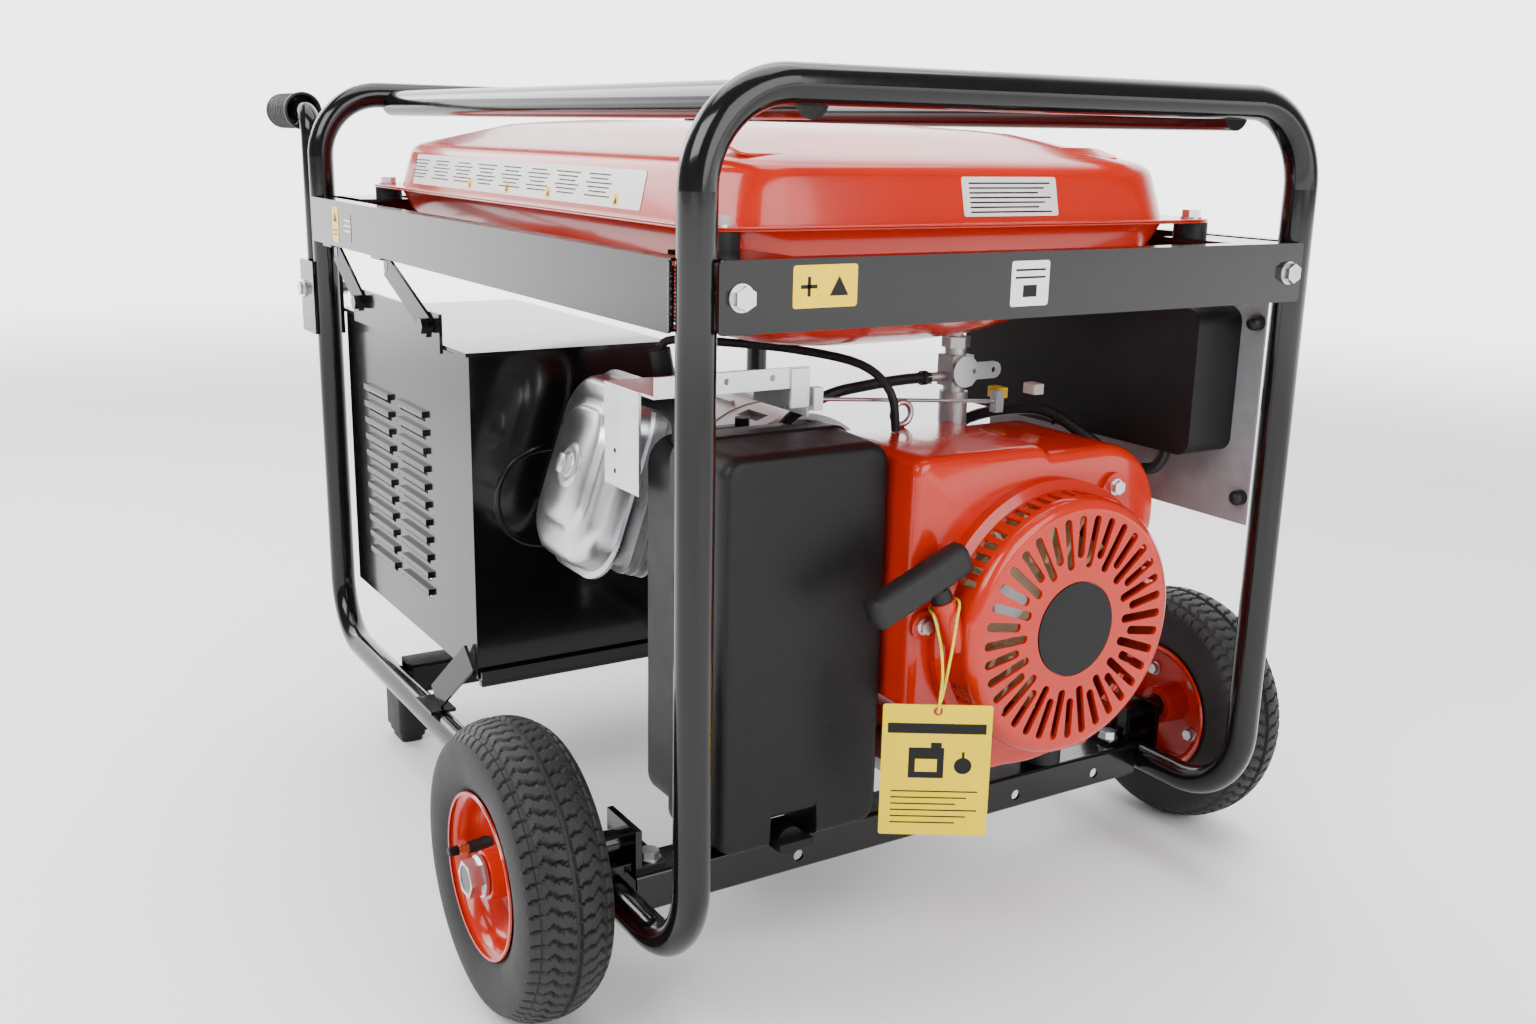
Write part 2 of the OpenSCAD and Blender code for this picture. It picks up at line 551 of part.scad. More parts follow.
// ---------------------------------------------------------------- silencer
sx0 = -372;
sx1 = -20;
sy0 = -250;
sy1 = -62;
sz0 = 140;
sz1 = 430;
module silencer_shield() color(steel_black) place() {
    top = sz1 - 2.02;
    difference() {
        union() {
            translate([sx0, sy0, sz0]) cube([sx1 - sx0, 1.5, top - sz0]);
            for (c = [0, 1], i = [0:10]) translate([sx0 + 62 + c * 100, sy0 - 4, sz0 + 46 + i * 17])
                cube([76, 4.5, 6]);
        }
        for (c = [0, 1], i = [0:10]) translate([sx0 + 64 + c * 100, sy0 - 6, sz0 + 42 + i * 17])
            cube([72, 12, 6]);
    }
    difference() {
        union() {
            translate([sx1 - 1.5, sy0 + 1.52, sz0]) cube([1.5, sy1 - sy0 - 1.52, top - sz0]);
            translate([sx1 - 1.5, sy0 + 1.52, sz0 - 6]) cube([7.5, sy1 - sy0 - 1.52, 14]);
        }
        translate([sx1 - 10, -125.3, 333.3]) rotate([0, 90, 0]) cylinder(h = 20, r = 22);
    }
    difference() {
        translate([sx0, sy0 + 1.52, sz0]) cube([1.5, sy1 - sy0 - 1.52, top - sz0]);
        translate([sx0 - 10, -200, 200]) rotate([0, 90, 0]) cylinder(h = 20, r = 18);
    }
    translate([sx0 - 4, sy0 - 4, sz1 - 2]) cube([sx1 - sx0 + 8, sy1 - sy0 + 4, 3.5]);
}
module silencer_body() color([0.3, 0.28, 0.26]) place() {
    translate([-334, -156, 292]) rotate([90, 0, 90]) difference() {
        rbox(150, 230, 280, 50);
        translate([0, 0, 2]) rbox(146, 226, 276, 48);
    }
    translate([-53.98, -125.3, 333.3]) rotate([0, 90, 0]) cylinder(h = 37.78, r = 15);
    translate([-380, -200, 200]) rotate([0, 90, 0]) difference() {
        cylinder(h = 45.98, r = 14);
        translate([0, 0, -1]) cylinder(h = 40, r = 12);
    }
}
module strap(p, q, w) {
    v = q - p;
    translate(p) rotate([0, acos(v[2] / norm(v)), atan2(v[1], v[0])])
        translate([-w / 2, -1.5, 0]) cube([w, 3, norm(v)]);
}
module silencer_hangers() color(steel_black) place() {
    translate([-320, sy0 - 7.2, sz1 - 6]) cube([250, 3, 34]);
    for (h = [[-289, -345], [-93, -186]]) {
        strap([h[0], -258, 444], [h[1], -264, 490], 20);
        translate([h[1] - 14, -274, beam_top - beam_h - 3.1]) cube([28, 14, 3]);
        translate([h[1] - 5, -265.5, 486]) cube([10, 3, beam_top - beam_h - 3 - 486]);
        translate([h[0], sy0 - 1, 446]) rotate([90, 0, 0]) cylinder(h = 12, r = 4);
        translate([h[0], sy0 - 10, 446]) rotate([90, 0, 0]) cylinder(h = 7, r = 7.5, $fn = 6);
    }
    strap([-30, sy0 - 3.4, 158], [-98, -262, rail_z + tube_r + 10.5], 24);
    translate([-124, -274, rail_z + tube_r + 0.1]) cube([44, 24, 3]);
}
module stator() color(alu) place() {
    on_crank(-300) difference() {
        union() {
            cylinder(h = 212, r = 101);
            for (a = [0:15:345]) rotate(a) translate([100, -2, 0]) cube([5, 4, 200]);
        }
        translate([0, 0, 40]) cylinder(h = 120, r = 64);
        translate([0, 0, -1]) cylinder(h = 214, r = 60.6);
    }
    on_crank(-344) difference() {
        cylinder(h = 43.9, r = 103);
        translate([0, 0, 3]) cylinder(h = 50, r = 98);
        for (a = [0:30:330]) rotate(a) translate([60, -5, -1]) cube([28, 10, 6]);
    }
    on_crank(-344) pipe(24, 30, 17 + bore_gap);
    on_crank(-87.9) difference() {
        cylinder(h = 69.8, r = 100);
        translate([0, 0, -1]) cylinder(h = 72, r = 94);
        for (a = [-60:24:240]) rotate(a) translate([80, -7, 14]) cube([40, 14, 38]);
    }
    for (y = [-60, 60]) difference() {
        translate([-240, crank_y + y - 14, cross_top + 35.1]) cube([36, 28, 46]);
        on_crank(-245) cylinder(h = 46, r = 105.3);
    }
}

// ---------------------------------------------------------------- socket panel
px0 = 70;
px1 = 388;
pz0 = 318;
pz1 = 496;
py = 246;
socket_z = 412;
meter_z = 456;
breaker_z = 400;
module panel_plate() color([0.35, 0.35, 0.36]) place() difference() {
    translate([px0, py, pz0]) cube([px1 - px0, 2, pz1 - pz0]);
    for (x = [120, 200]) translate([x, py - 1, socket_z]) rotate([-90, 0, 0]) cylinder(h = 4, r = 24);
    translate([280, py - 1, meter_z]) rotate([-90, 0, 0]) cylinder(h = 4, r = 22);
    translate([265, py - 1, breaker_z - 17]) cube([30, 4, 34]);
    translate([335, py - 1, socket_z]) rotate([-90, 0, 0]) cylinder(h = 4, r = 9.5);
}
module panel_box() color(plastic) place() {
    difference() {
        translate([225, py - 48, 432]) rotate([-90, 0, 0]) linear_extrude(48) rsq(280, 116, 12);
        translate([225, py - 45, 432]) rotate([-90, 0, 0]) linear_extrude(48) rsq(274, 110, 9);
    }
    for (z = [340, 480]) translate([382, py - 6.1, z]) rotate([-90, 0, 0]) { cylinder(h = 6, r = 6); sphere(6); }
}
module panel_fittings() color(plastic) place() {
    for (x = [120, 200]) translate([x, py - 30, socket_z]) rotate([-90, 0, 0]) {
        cylinder(h = 37, r = 23.5);  // stops behind the floor of the plug recess
        difference() {
            translate([0, 0, 32.1]) linear_extrude(11.9) rsq(62, 62, 6);
            translate([0, 0, 38]) cylinder(h = 10, r = 20);
        }
    }
    translate([280, py - 20, meter_z]) rotate([-90, 0, 0]) {
        cylinder(h = 24, r = 21.5);
        translate([0, 0, 22.1]) linear_extrude(5.9) rsq(54, 50, 5);
    }
    translate([100, py + 2.1, 338]) rotate([-90, 0, 0]) { cylinder(h = 12, r = 4); cylinder(h = 5, r = 9, $fn = 6); }
    translate([280, py, breaker_z]) difference() {
        translate([-14.8, -20, -16.8]) cube([29.6, 21, 33.6]);
        translate([-12, 0, 0]) rotate([0, 90, 0]) cylinder(h = 24, r = 8.05);
    }
}
module socket_lid(x) color(plastic) place() translate([x, py + 14.7, socket_z]) {
    rotate([-90, 0, 0]) linear_extrude(4) rsq(58, 58, 6);
    translate([-20, 2, 30.6]) rotate([0, 90, 0]) cylinder(h = 40, r = 2.4);
    translate([-16, 0, 24]) cube([32, 4, 6.5]);
}
module socket_lid_a() socket_lid(120);
module socket_lid_b() socket_lid(200);
module engine_switch() color(plastic) place() translate([335, py, socket_z]) rotate([-90, 0, 0]) {
    translate([0, 0, -10]) cylinder(h = 18, r = 9.45);
    translate([-2.5, -9, 7.5]) cube([5, 18, 9]);
}
module breaker() color(plastic) place() translate([280, py, breaker_z]) {
    translate([-11, 0, 0]) rotate([0, 90, 0]) cylinder(h = 22, r = 8);
    translate([-9, 5, -3]) cube([18, 9, 6]);
}

// ---------------------------------------------------------------- fuel tap
tap_z = seam_z - 96;
module tap_body() color(alu) place() translate([tap_x, tap_y, tap_z]) difference() {
    union() {
        translate([0, 0, -14]) cylinder(h = 9, r = 12, $fn = 6);
        translate([0, 0, -14]) cylinder(h = 22, r = 6);
        translate([0, 0, -52]) cylinder(h = 38.5, r = 9);
        translate([-9, -11, -46]) cube([20, 22, 26]);
        translate([0, 0, -82]) cylinder(h = 31, r = 12);
        translate([0, 0, -92]) cylinder(h = 10.5, r = 7, $fn = 6);
        translate([0, 0, -38]) rotate([90, 0, 0]) cylinder(h = 26, r = 4);
    }
    translate([4, 0, -33]) rotate([0, 90, 0]) cylinder(h = 20, r = 4.05);
}
module tap_lever() color(zinc) place() translate([tap_x + 12.6, tap_y, tap_z - 33]) rotate([0, 90, 0]) {
    translate([0, 0, -7.5]) cylinder(h = 9.5, r = 4);
    difference() {
        union() {
            cylinder(h = 3, r = 13);
            translate([-7, 0, 0]) cube([14, 30, 3]);
            translate([0, 30, 0]) cylinder(h = 3, r = 7);
        }
        translate([0, 8.5, -1]) cylinder(h = 6, r = 2.2);
        translate([0, 30, -1]) cylinder(h = 6, r = 3);
    }
}
module fuel_hose() color(rubber) place() {
    tube([[tap_x, tap_y - 26.2, tap_z - 38], [tap_x, 40, tap_z - 38], [202, 0, 420], [204, -34, 416],
          [190, -58, 400], [162, -64, 374], [151, -78, 353], [150, -93.6, 350]], 4.5);
    translate([tap_x, tap_y - 30, tap_z - 38]) rotate([90, 0, 0]) pipe(6, 5, 4.8);
}

// ---------------------------------------------------------------- stickers and hang tag
module sticker(w, h) translate([0, 0, 0.15]) linear_extrude(0.4) rsq(w, h, 2);
side_lean = 13.12;  // the tank sides lean inwards by this angle
module decals() color([0.9, 0.9, 0.9]) place() {
    translate([-18, 4.19 - tank_wid / 2, seam_z + 18.5]) rotate([90 - side_lean, 0, 0]) sticker(480, 28);
    translate([tank_len / 2 - 4.19, 32, seam_z + 18.5]) rotate([0, -side_lean, 0]) rotate([90, 0, 90]) sticker(88, 28);
    translate([hl + tube_r + beam_t, -180.5, beam_top - 17]) rotate([90, 0, 90]) sticker(47, 26);
    translate([hl + tube_r + beam_t, -16.5, beam_top - 21]) rotate([90, 0, 90]) sticker(33, 30);
    translate([-hl + 93, -hw - tube_r - beam_t, beam_top - 23]) rotate([90, 0, 0]) sticker(20, 34);
    translate([-hl + 132, -hw - tube_r - beam_t, beam_top - 24]) rotate([90, 0, 0]) sticker(24, 26);
}
tag_x = 375;
tag_y = -48;
tag_z = 165;
tag_turn = -32;
// String: through the tag eyelet, up, round the rope guide and down behind the tag
tag_pts = [[373, -46.8, 210.8], [375.3, -48.2, 210.6], [377.7, -49.6, 212.5], [379, -50, 222], [378, -48, 240],
           [371, -45, 258], [362.5, -43, 271], [355.2, -41.2, 278.3], [347.4, -38.2, 279.6], [344, -31, 282.6],
           [347.4, -23.6, 285.7], [355.2, -20.6, 287], [363, -23.6, 285.7], [368.3, -29.5, 276], [373, -36, 258],
           [375.5, -41.5, 240], [373.6, -43.4, 222], [372.9, -45.6, 214.6]];
module tag_string() color([0.9, 0.75, 0.05]) place() tube(tag_pts, 1.1, 4, 8);
module hang_tag() color([0.93, 0.85, 0.05]) place() translate([tag_x, tag_y, tag_z]) rotate([0, 0, tag_turn])
    rotate([90, 0, 90]) difference() {
        linear_extrude(0.6) rsq(80, 103, 2);
        translate([0, 46.5, -1]) cylinder(h = 3, r = 3.4);
    }

// ---------------------------------------------------------------- output
hoop_front();
hoop_rear();
low_rails();
top_rails();
end_beams();
side_beams();
fasteners();
cross_front();
cross_rear();
engine_mounts();
rubber_feet();
axle_brackets();
handle_brackets();
tyre_near();
rim_near();
tyre_far();
rim_far();
handle_arm_near();
handle_grip_near();
handle_arm_far();
handle_grip_far();
tank_upper();
tank_lower();
tank_cap();
tank_pads();
crankcase();
cylinder_head();
rocker_cover();
wiring();
blower_shroud();
recoil_cover();
recoil_disc();
flywheel();
rotor();
starter_grip();
dipstick();
carburettor();
choke_lever();
control_bracket();
air_base();
air_cover();
air_knob();
breather_hose();
silencer_shield();
silencer_body();
silencer_hangers();
stator();
panel_plate();
panel_box();
panel_fittings();
socket_lid_a();
socket_lid_b();
engine_switch();
breaker();
tap_body();
tap_lever();
fuel_hose();
decals();
tag_string();
hang_tag();
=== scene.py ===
import json
import math

import bpy
from mathutils import Matrix, Vector, noise


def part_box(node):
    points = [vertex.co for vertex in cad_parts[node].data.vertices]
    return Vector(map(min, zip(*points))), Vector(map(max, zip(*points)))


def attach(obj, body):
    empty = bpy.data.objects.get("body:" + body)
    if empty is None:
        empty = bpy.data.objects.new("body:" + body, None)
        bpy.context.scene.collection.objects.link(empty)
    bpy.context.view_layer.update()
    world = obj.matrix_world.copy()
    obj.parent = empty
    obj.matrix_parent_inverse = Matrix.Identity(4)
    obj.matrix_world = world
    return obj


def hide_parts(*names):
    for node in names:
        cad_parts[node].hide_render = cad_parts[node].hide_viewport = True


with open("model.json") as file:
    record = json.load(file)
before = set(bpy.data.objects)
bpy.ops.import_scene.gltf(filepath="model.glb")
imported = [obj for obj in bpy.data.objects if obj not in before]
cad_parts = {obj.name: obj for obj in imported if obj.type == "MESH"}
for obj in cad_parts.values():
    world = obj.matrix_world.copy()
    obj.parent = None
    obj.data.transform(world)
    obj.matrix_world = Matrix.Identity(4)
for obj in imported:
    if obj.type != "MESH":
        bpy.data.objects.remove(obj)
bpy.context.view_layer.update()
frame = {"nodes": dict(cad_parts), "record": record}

MM = 0.001


def mid(node):
    lo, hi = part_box(node)
    return (lo + hi) / 2


# Middle of the machine: halfway between the two hoops, on the floor
CENTRE_X = (mid("hoop_front").x + mid("hoop_rear").x) / 2


def at(x, y, z):
    """A point in millimetres from the middle of the machine, as a row frame vector in metres."""
    return Vector((CENTRE_X + x * MM, y * MM, z * MM))


# ------------------------------------------------------------------ camera
CAM_POS = at(1156.2, -685.6, 616.1)
YAW, PITCH, ROLL = (math.radians(a) for a in (147.99, -14.47, 1.23))


def make_camera():
    forward = Vector((math.cos(PITCH) * math.cos(YAW), math.cos(PITCH) * math.sin(YAW), math.sin(PITCH)))
    right = forward.cross(Vector((0, 0, 1))).normalized()
    up = right.cross(forward)
    right, up = (math.cos(ROLL) * right + math.sin(ROLL) * up,
                 -math.sin(ROLL) * right + math.cos(ROLL) * up)
    data = bpy.data.cameras.new("camera")
    data.lens, data.sensor_width = 34.54, 36.0
    data.clip_start = 0.02
    cam = bpy.data.objects.new("camera", data)
    bpy.context.scene.collection.objects.link(cam)
    turn = Matrix((right, up, -forward)).transposed().to_4x4()
    cam.matrix_world = Matrix.Translation(CAM_POS) @ turn
    bpy.context.scene.camera = cam


make_camera()


# ------------------------------------------------------------------ materials
def material(name, colour, rough, metal=0.0, coat=0.0, mottle=0.12, scale=60.0, grain=500.0, bump=0.05,
             shine=0.5):
    """A procedural surface: blotchy colour and roughness over a fine bump."""
    mat = bpy.data.materials.new(name)
    mat.use_nodes = True
    tree = mat.node_tree
    n, link = tree.nodes, tree.links.new
    shader = n["Principled BSDF"]
    shader.inputs["Metallic"].default_value = metal
    shader.inputs["Coat Weight"].default_value = coat
    shader.inputs["Coat Roughness"].default_value = 0.06
    shader.inputs["Specular IOR Level"].default_value = shine
    where = n.new("ShaderNodeTexCoord")
    blotch = n.new("ShaderNodeTexNoise")
    blotch.inputs["Scale"].default_value = scale
    blotch.inputs["Detail"].default_value = 5
    link(where.outputs["Object"], blotch.inputs["Vector"])
    ramp = n.new("ShaderNodeValToRGB")
    ramp.color_ramp.elements[0].position = 0.3
    ramp.color_ramp.elements[1].position = 0.72
    ramp.color_ramp.elements[0].color = [c * (1 - mottle) for c in colour] + [1]
    ramp.color_ramp.elements[1].color = [min(1, c * (1 + mottle)) for c in colour] + [1]
    link(blotch.outputs["Fac"], ramp.inputs["Fac"])
    link(ramp.outputs["Color"], shader.inputs["Base Color"])
    spread = n.new("ShaderNodeMapRange")
    spread.inputs["To Min"].default_value = max(0.02, rough * 0.75)
    spread.inputs["To Max"].default_value = min(1, rough * 1.3)
    link(blotch.outputs["Fac"], spread.inputs["Value"])
    link(spread.outputs["Result"], shader.inputs["Roughness"])
    fine = n.new("ShaderNodeTexNoise")
    fine.inputs["Scale"].default_value = grain
    fine.inputs["Detail"].default_value = 3
    link(where.outputs["Object"], fine.inputs["Vector"])
    relief = n.new("ShaderNodeBump")
    relief.inputs["Strength"].default_value = bump
    relief.inputs["Distance"].default_value = 0.001
    link(fine.outputs["Fac"], relief.inputs["Height"])
    link(relief.outputs["Normal"], shader.inputs["Normal"])
    return mat


BLACK_GLOSS = material("black_gloss", (0.003, 0.003, 0.0034), 0.15, coat=0.25, grain=220, bump=0.03, shine=0.25)
BLACK_SATIN = material("black_satin", (0.007, 0.007, 0.008), 0.4, grain=900, bump=0.14, shine=0.22)
RED = material("orange_red", (0.5, 0.014, 0.002), 0.2, coat=0.35, mottle=0.04, scale=12, grain=260, bump=0.03,
               shine=0.3)
ZINC = material("zinc", (0.66, 0.67, 0.69), 0.3, metal=1, mottle=0.1, scale=35, grain=700, bump=0.08)
CAST = material("cast_alu", (0.5, 0.5, 0.51), 0.48, metal=0.9, mottle=0.14, scale=45, grain=420, bump=0.5)
STEEL = material("worn_steel", (0.36, 0.34, 0.32), 0.4, metal=1, mottle=0.3, scale=30, grain=300, bump=0.2)
RUBBER = material("rubber", (0.009, 0.009, 0.01), 0.55, shine=0.35, mottle=0.25, scale=40, grain=600, bump=0.25)
TYRE = material("tyre", (0.014, 0.014, 0.015), 0.6, shine=0.35, mottle=0.3, scale=25, grain=350, bump=0.3)
GREY = material("panel_grey", (0.2, 0.2, 0.21), 0.4, grain=500, bump=0.12)
FAN = material("fan_nylon", (0.78, 0.62, 0.4), 0.5, mottle=0.15, scale=30, grain=400, bump=0.15)
LABEL = material("label_white", (0.78, 0.78, 0.76), 0.32, mottle=0.03, grain=300, bump=0.04)
LABEL_YELLOW = material("label_yellow", (0.95, 0.62, 0.0), 0.32, shine=0.2, mottle=0.05, grain=300, bump=0.04)
INK = material("ink", (0.008, 0.008, 0.009), 0.45, shine=0.2, grain=300, bump=0.03)
CARD = material("yellow_card", (0.86, 0.62, 0.0), 0.6, shine=0.05, mottle=0.05, scale=20, grain=500, bump=0.1)
STRING = material("yellow_string", (0.85, 0.7, 0.04), 0.75, mottle=0.2, scale=300, grain=1500, bump=0.6)
BRASS = material("brass", (0.7, 0.5, 0.2), 0.3, metal=1, grain=400, bump=0.1)
WHITE = material("connector_white", (0.75, 0.74, 0.68), 0.45, grain=300, bump=0.05)

BY_SLOT = {"steel_black": BLACK_GLOSS, "zinc": ZINC, "tank_red": RED, "tyre": TYRE, "rubber": RUBBER,
           "alu": CAST, "plastic": BLACK_SATIN, "panel_grey": GREY, "silencer": STEEL, "fan": FAN,
           "label": LABEL, "yellow": CARD}
SLOT = {s["node"]: s["material_slot"] for s in frame["record"]["subparts"]}


def smooth(mesh, angle=38):
    mesh.polygons.foreach_set("use_smooth", [True] * len(mesh.polygons))
    mesh.set_sharp_from_angle(angle=math.radians(angle))


def soft_edges(obj, width):
    mod = obj.modifiers.new("edge", "BEVEL")
    mod.width, mod.segments, mod.limit_method = width * MM, 2, "ANGLE"
    mod.angle_limit = math.radians(40)
    mod.harden_normals = False


# Edge radius in millimetres of the carried-over pieces
EDGES = {
    "air_base": 1.2, "air_knob": 0.8, "axle_brackets": 0.6, "blower_shroud": 1.2, "carburettor": 0.5,
    "control_bracket": 0.3, "crankcase": 1.2, "cross_front": 0.5, "cross_rear": 0.5, "cylinder_head": 0.5,
    "dipstick": 0.8, "end_beams": 0.4, "fasteners": 0.35, "handle_brackets": 0.5, "low_rails": 0.2,
    "panel_box": 1.0, "panel_fittings": 0.8, "panel_plate": 0.3, "recoil_cover": 0.5, "rubber_feet": 1.0,
    "side_beams": 0.4, "silencer_hangers": 0.4, "silencer_shield": 0.4, "socket_lid_a": 0.8,
    "socket_lid_b": 0.8, "stator": 0.8, "tank_cap": 0.8, "tap_body": 0.5}

for name, obj in frame["nodes"].items():
    obj.data.materials.clear()
    obj.data.materials.append(BY_SLOT[SLOT[name]])
    smooth(obj.data)
    if name in EDGES:
        soft_edges(obj, EDGES[name])


# ------------------------------------------------------------------ mesh helpers
def piece(name, verts, faces, mat, body="frame", angle=38, edge=0):
    mesh = bpy.data.meshes.new(name)
    mesh.from_pydata([tuple(v) for v in verts], [], faces)
    mesh.validate()
    mesh.materials.append(mat)
    smooth(mesh, angle)
    obj = bpy.data.objects.new(name, mesh)
    bpy.context.scene.collection.objects.link(obj)
    if edge:
        soft_edges(obj, edge)
    if body:
        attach(obj, body)
    return obj


def frame_for(axis):
    """Two unit vectors across the axis."""
    axis = axis.normalized()
    side = axis.cross(Vector((0, 0, 1)) if abs(axis.z) < 0.9 else Vector((0, 1, 0))).normalized()
    return side, axis.cross(side)


def loft(name, rings, mat, closed_ends=True, **kw):
    """Skin over rings of equal length, each a list of points."""
    n = len(rings[0])
    verts = [p for ring in rings for p in ring]
    faces = [(i * n + k, i * n + (k + 1) % n, (i + 1) * n + (k + 1) % n, (i + 1) * n + k)
             for i in range(len(rings) - 1) for k in range(n)]
    if closed_ends:
        faces += [tuple(range(n))[::-1], tuple((len(rings) - 1) * n + k for k in range(n))]
    return piece(name, verts, faces, mat, **kw)


def lathe(name, centre, axis, profile, mat, n=96, **kw):
    """profile is (distance along the axis, radius) in millimetres."""
    side, up = frame_for(axis)
    axis = axis.normalized()
    rings = [[centre + axis * a * MM + (side * math.cos(t) + up * math.sin(t)) * max(r, 0.01) * MM
              for t in (2 * math.pi * k / n for k in range(n))] for a, r in profile]
    return loft(name, rings, mat, **kw)


def rounded(w, h, r, per=10):
    """Corners of a rounded rectangle, counter-clockwise, in millimetres."""
    out = []
    for cx, cy, start in ((1, 1, 0), (-1, 1, 90), (-1, -1, 180), (1, -1, 270)):
        for k in range(per + 1):
            t = math.radians(start + 90 * k / per)
            out.append((cx * (w / 2 - r) + r * math.cos(t), cy * (h / 2 - r) + r * math.sin(t)))
    return out


def slab(name, origin, u, v, outline, thick, mat, **kw):
    """A flat piece: outline in the u, v plane, raised by thick along u x v."""
    n = u.cross(v).normalized()
    rings = [[origin + (u * a + v * b + n * t) * MM for a, b in outline] for t in (0, thick)]
    return loft(name, rings, mat, **kw)


def cable(name, points, radius, mat, body="frame"):
    data = bpy.data.curves.new(name, "CURVE")
    data.dimensions, data.bevel_depth, data.bevel_resolution = "3D", radius * MM, 5
    data.use_fill_caps = True
    line = data.splines.new("NURBS")
    line.points.add(len(points) - 1)
    for slot, p in zip(line.points, points):
        slot.co = (*p, 1)
    line.order_u, line.use_endpoint_u, line.resolution_u = 4, True, 10
    data.materials.append(mat)
    obj = bpy.data.objects.new(name, data)
    bpy.context.scene.collection.objects.link(obj)
    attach(obj, body)


def hex_bolt(name, at_point, axis, af, mat=ZINC, body="frame", washer=True):
    """Hexagon head with a chamfered top, on a washer, its seat at at_point."""
    side, up = frame_for(axis)
    axis = axis.normalized()
    r = af / 2 / math.cos(math.pi / 6)

    def ring(h, radius, n=6):
        return [at_point + (axis * h + side * radius * math.cos(2 * math.pi * k / n)
                            + up * radius * math.sin(2 * math.pi * k / n)) * MM for k in range(n)]
    base = 1.2 if washer else 0.0
    top = base + af * 0.42
    loft(name, [ring(base, r), ring(top - 0.5, r), ring(top, r * 0.88)], mat, body=body, edge=0.25)
    if washer:
        profile = [(0, af * 0.66), (base * 0.8, af * 0.66), (base, af * 0.62)]
        lathe(name + "_washer", at_point, axis, profile, mat, n=40, body=body)


X, Y, Z = Vector((1, 0, 0)), Vector((0, 1, 0)), Vector((0, 0, 1))


# ------------------------------------------------------------------ tag and string
def smooth_path(points, steps=10):
    out = []
    for i in range(len(points) - 1):
        a, b = points[max(i - 1, 0)], points[i]
        c, d = points[i + 1], points[min(i + 2, len(points) - 1)]
        for k in range(steps):
            t = k / steps
            out.append(0.5 * (2 * b + (c - a) * t + (2 * a - 5 * b + 4 * c - d) * t ** 2
                              + (3 * b - a - 3 * c + d) * t ** 3))
    return out + [points[-1]]


# The card's middle in millimetres, and how far it is turned about its upright
TAG_X, TAG_Y, TAG_Z, TAG_TURN = 375, -48, 165, math.radians(-32)


def print_on_tag():
    """Generic print on the card: a band, a can, a drop and plain lines, as masks along and across it."""
    tree = CARD.node_tree
    n, link = tree.nodes, tree.links.new
    across = (-math.sin(TAG_TURN), math.cos(TAG_TURN), 0)
    centre = at(TAG_X, TAG_Y, TAG_Z)

    def sums(op, first, second):
        node = n.new("ShaderNodeMath")
        node.operation = op
        for socket, value in zip(node.inputs, (first, second)):
            if isinstance(value, float):
                socket.default_value = value
            else:
                link(value, socket)
        return node.outputs["Value"]

    where = n.new("ShaderNodeTexCoord").outputs["Object"]
    dot = n.new("ShaderNodeVectorMath")
    dot.operation = "DOT_PRODUCT"
    link(where, dot.inputs[0])
    dot.inputs[1].default_value = across
    a = sums("SUBTRACT", dot.outputs["Value"], float(centre.dot(Vector(across))))
    split = n.new("ShaderNodeSeparateXYZ")
    link(where, split.inputs[0])
    b = sums("SUBTRACT", split.outputs["Z"], float(centre.z))

    def box(a0, a1, b0, b1):
        wide = sums("MULTIPLY", sums("GREATER_THAN", a, a0 * MM), sums("LESS_THAN", a, a1 * MM))
        tall = sums("MULTIPLY", sums("GREATER_THAN", b, b0 * MM), sums("LESS_THAN", b, b1 * MM))
        return sums("MULTIPLY", wide, tall)

    def disc(ca, cb, r):
        da, db = sums("SUBTRACT", a, ca * MM), sums("SUBTRACT", b, cb * MM)
        squares = sums("ADD", sums("MULTIPLY", da, da), sums("MULTIPLY", db, db))
        return sums("LESS_THAN", squares, (r * MM) ** 2)

    marks = [box(-36.0, 36.0, 29.0, 37.0), disc(20.0, 4.0, 6.5), box(19.0, 21.0, 4.0, 15.0)]
    can = sums("SUBTRACT", box(-20.0, 6.0, -6.0, 18.0), box(-15.0, 1.0, -1.0, 9.0))
    marks += [can, box(-4.0, 4.0, 17.0, 22.0)]
    marks += [box(-32.0, 32.0 - 8.0 * (k % 3), -17.2 - 5.0 * k, -16.0 - 5.0 * k) for k in range(6)]
    print_mask = marks[0]
    for mark in marks[1:]:
        print_mask = sums("MAXIMUM", print_mask, mark)
    mix = n.new("ShaderNodeMix")
    mix.data_type = "RGBA"
    shader = n["Principled BSDF"]
    card_colour = shader.inputs["Base Color"].links[0].from_socket
    sockets = {i.identifier: i for i in mix.inputs}
    link(print_mask, sockets["Factor_Float"])
    link(card_colour, sockets["A_Color"])
    sockets["B_Color"].default_value = (0.02, 0.02, 0.02, 1)
    link({o.identifier: o for o in mix.outputs}["Result_Color"], shader.inputs["Base Color"])


# The string's route in millimetres: through the eyelet, up, round the rope guide and down again
STRING_POINTS = [(373, -46.8, 210.8), (375.3, -48.2, 210.6), (377.7, -49.6, 212.5), (379, -50, 222),
                 (378, -48, 240), (371, -45, 258), (362.5, -43, 271), (355.2, -41.2, 278.3),
                 (347.4, -38.2, 279.6), (344, -31, 282.6), (347.4, -23.6, 285.7), (355.2, -20.6, 287),
                 (363, -23.6, 285.7), (368.3, -29.5, 276), (373, -36, 258), (375.5, -41.5, 240),
                 (373.6, -43.4, 222), (372.9, -45.6, 214.6)]
STRING_RADIUS = 1.05
STRING_SIDES = 12


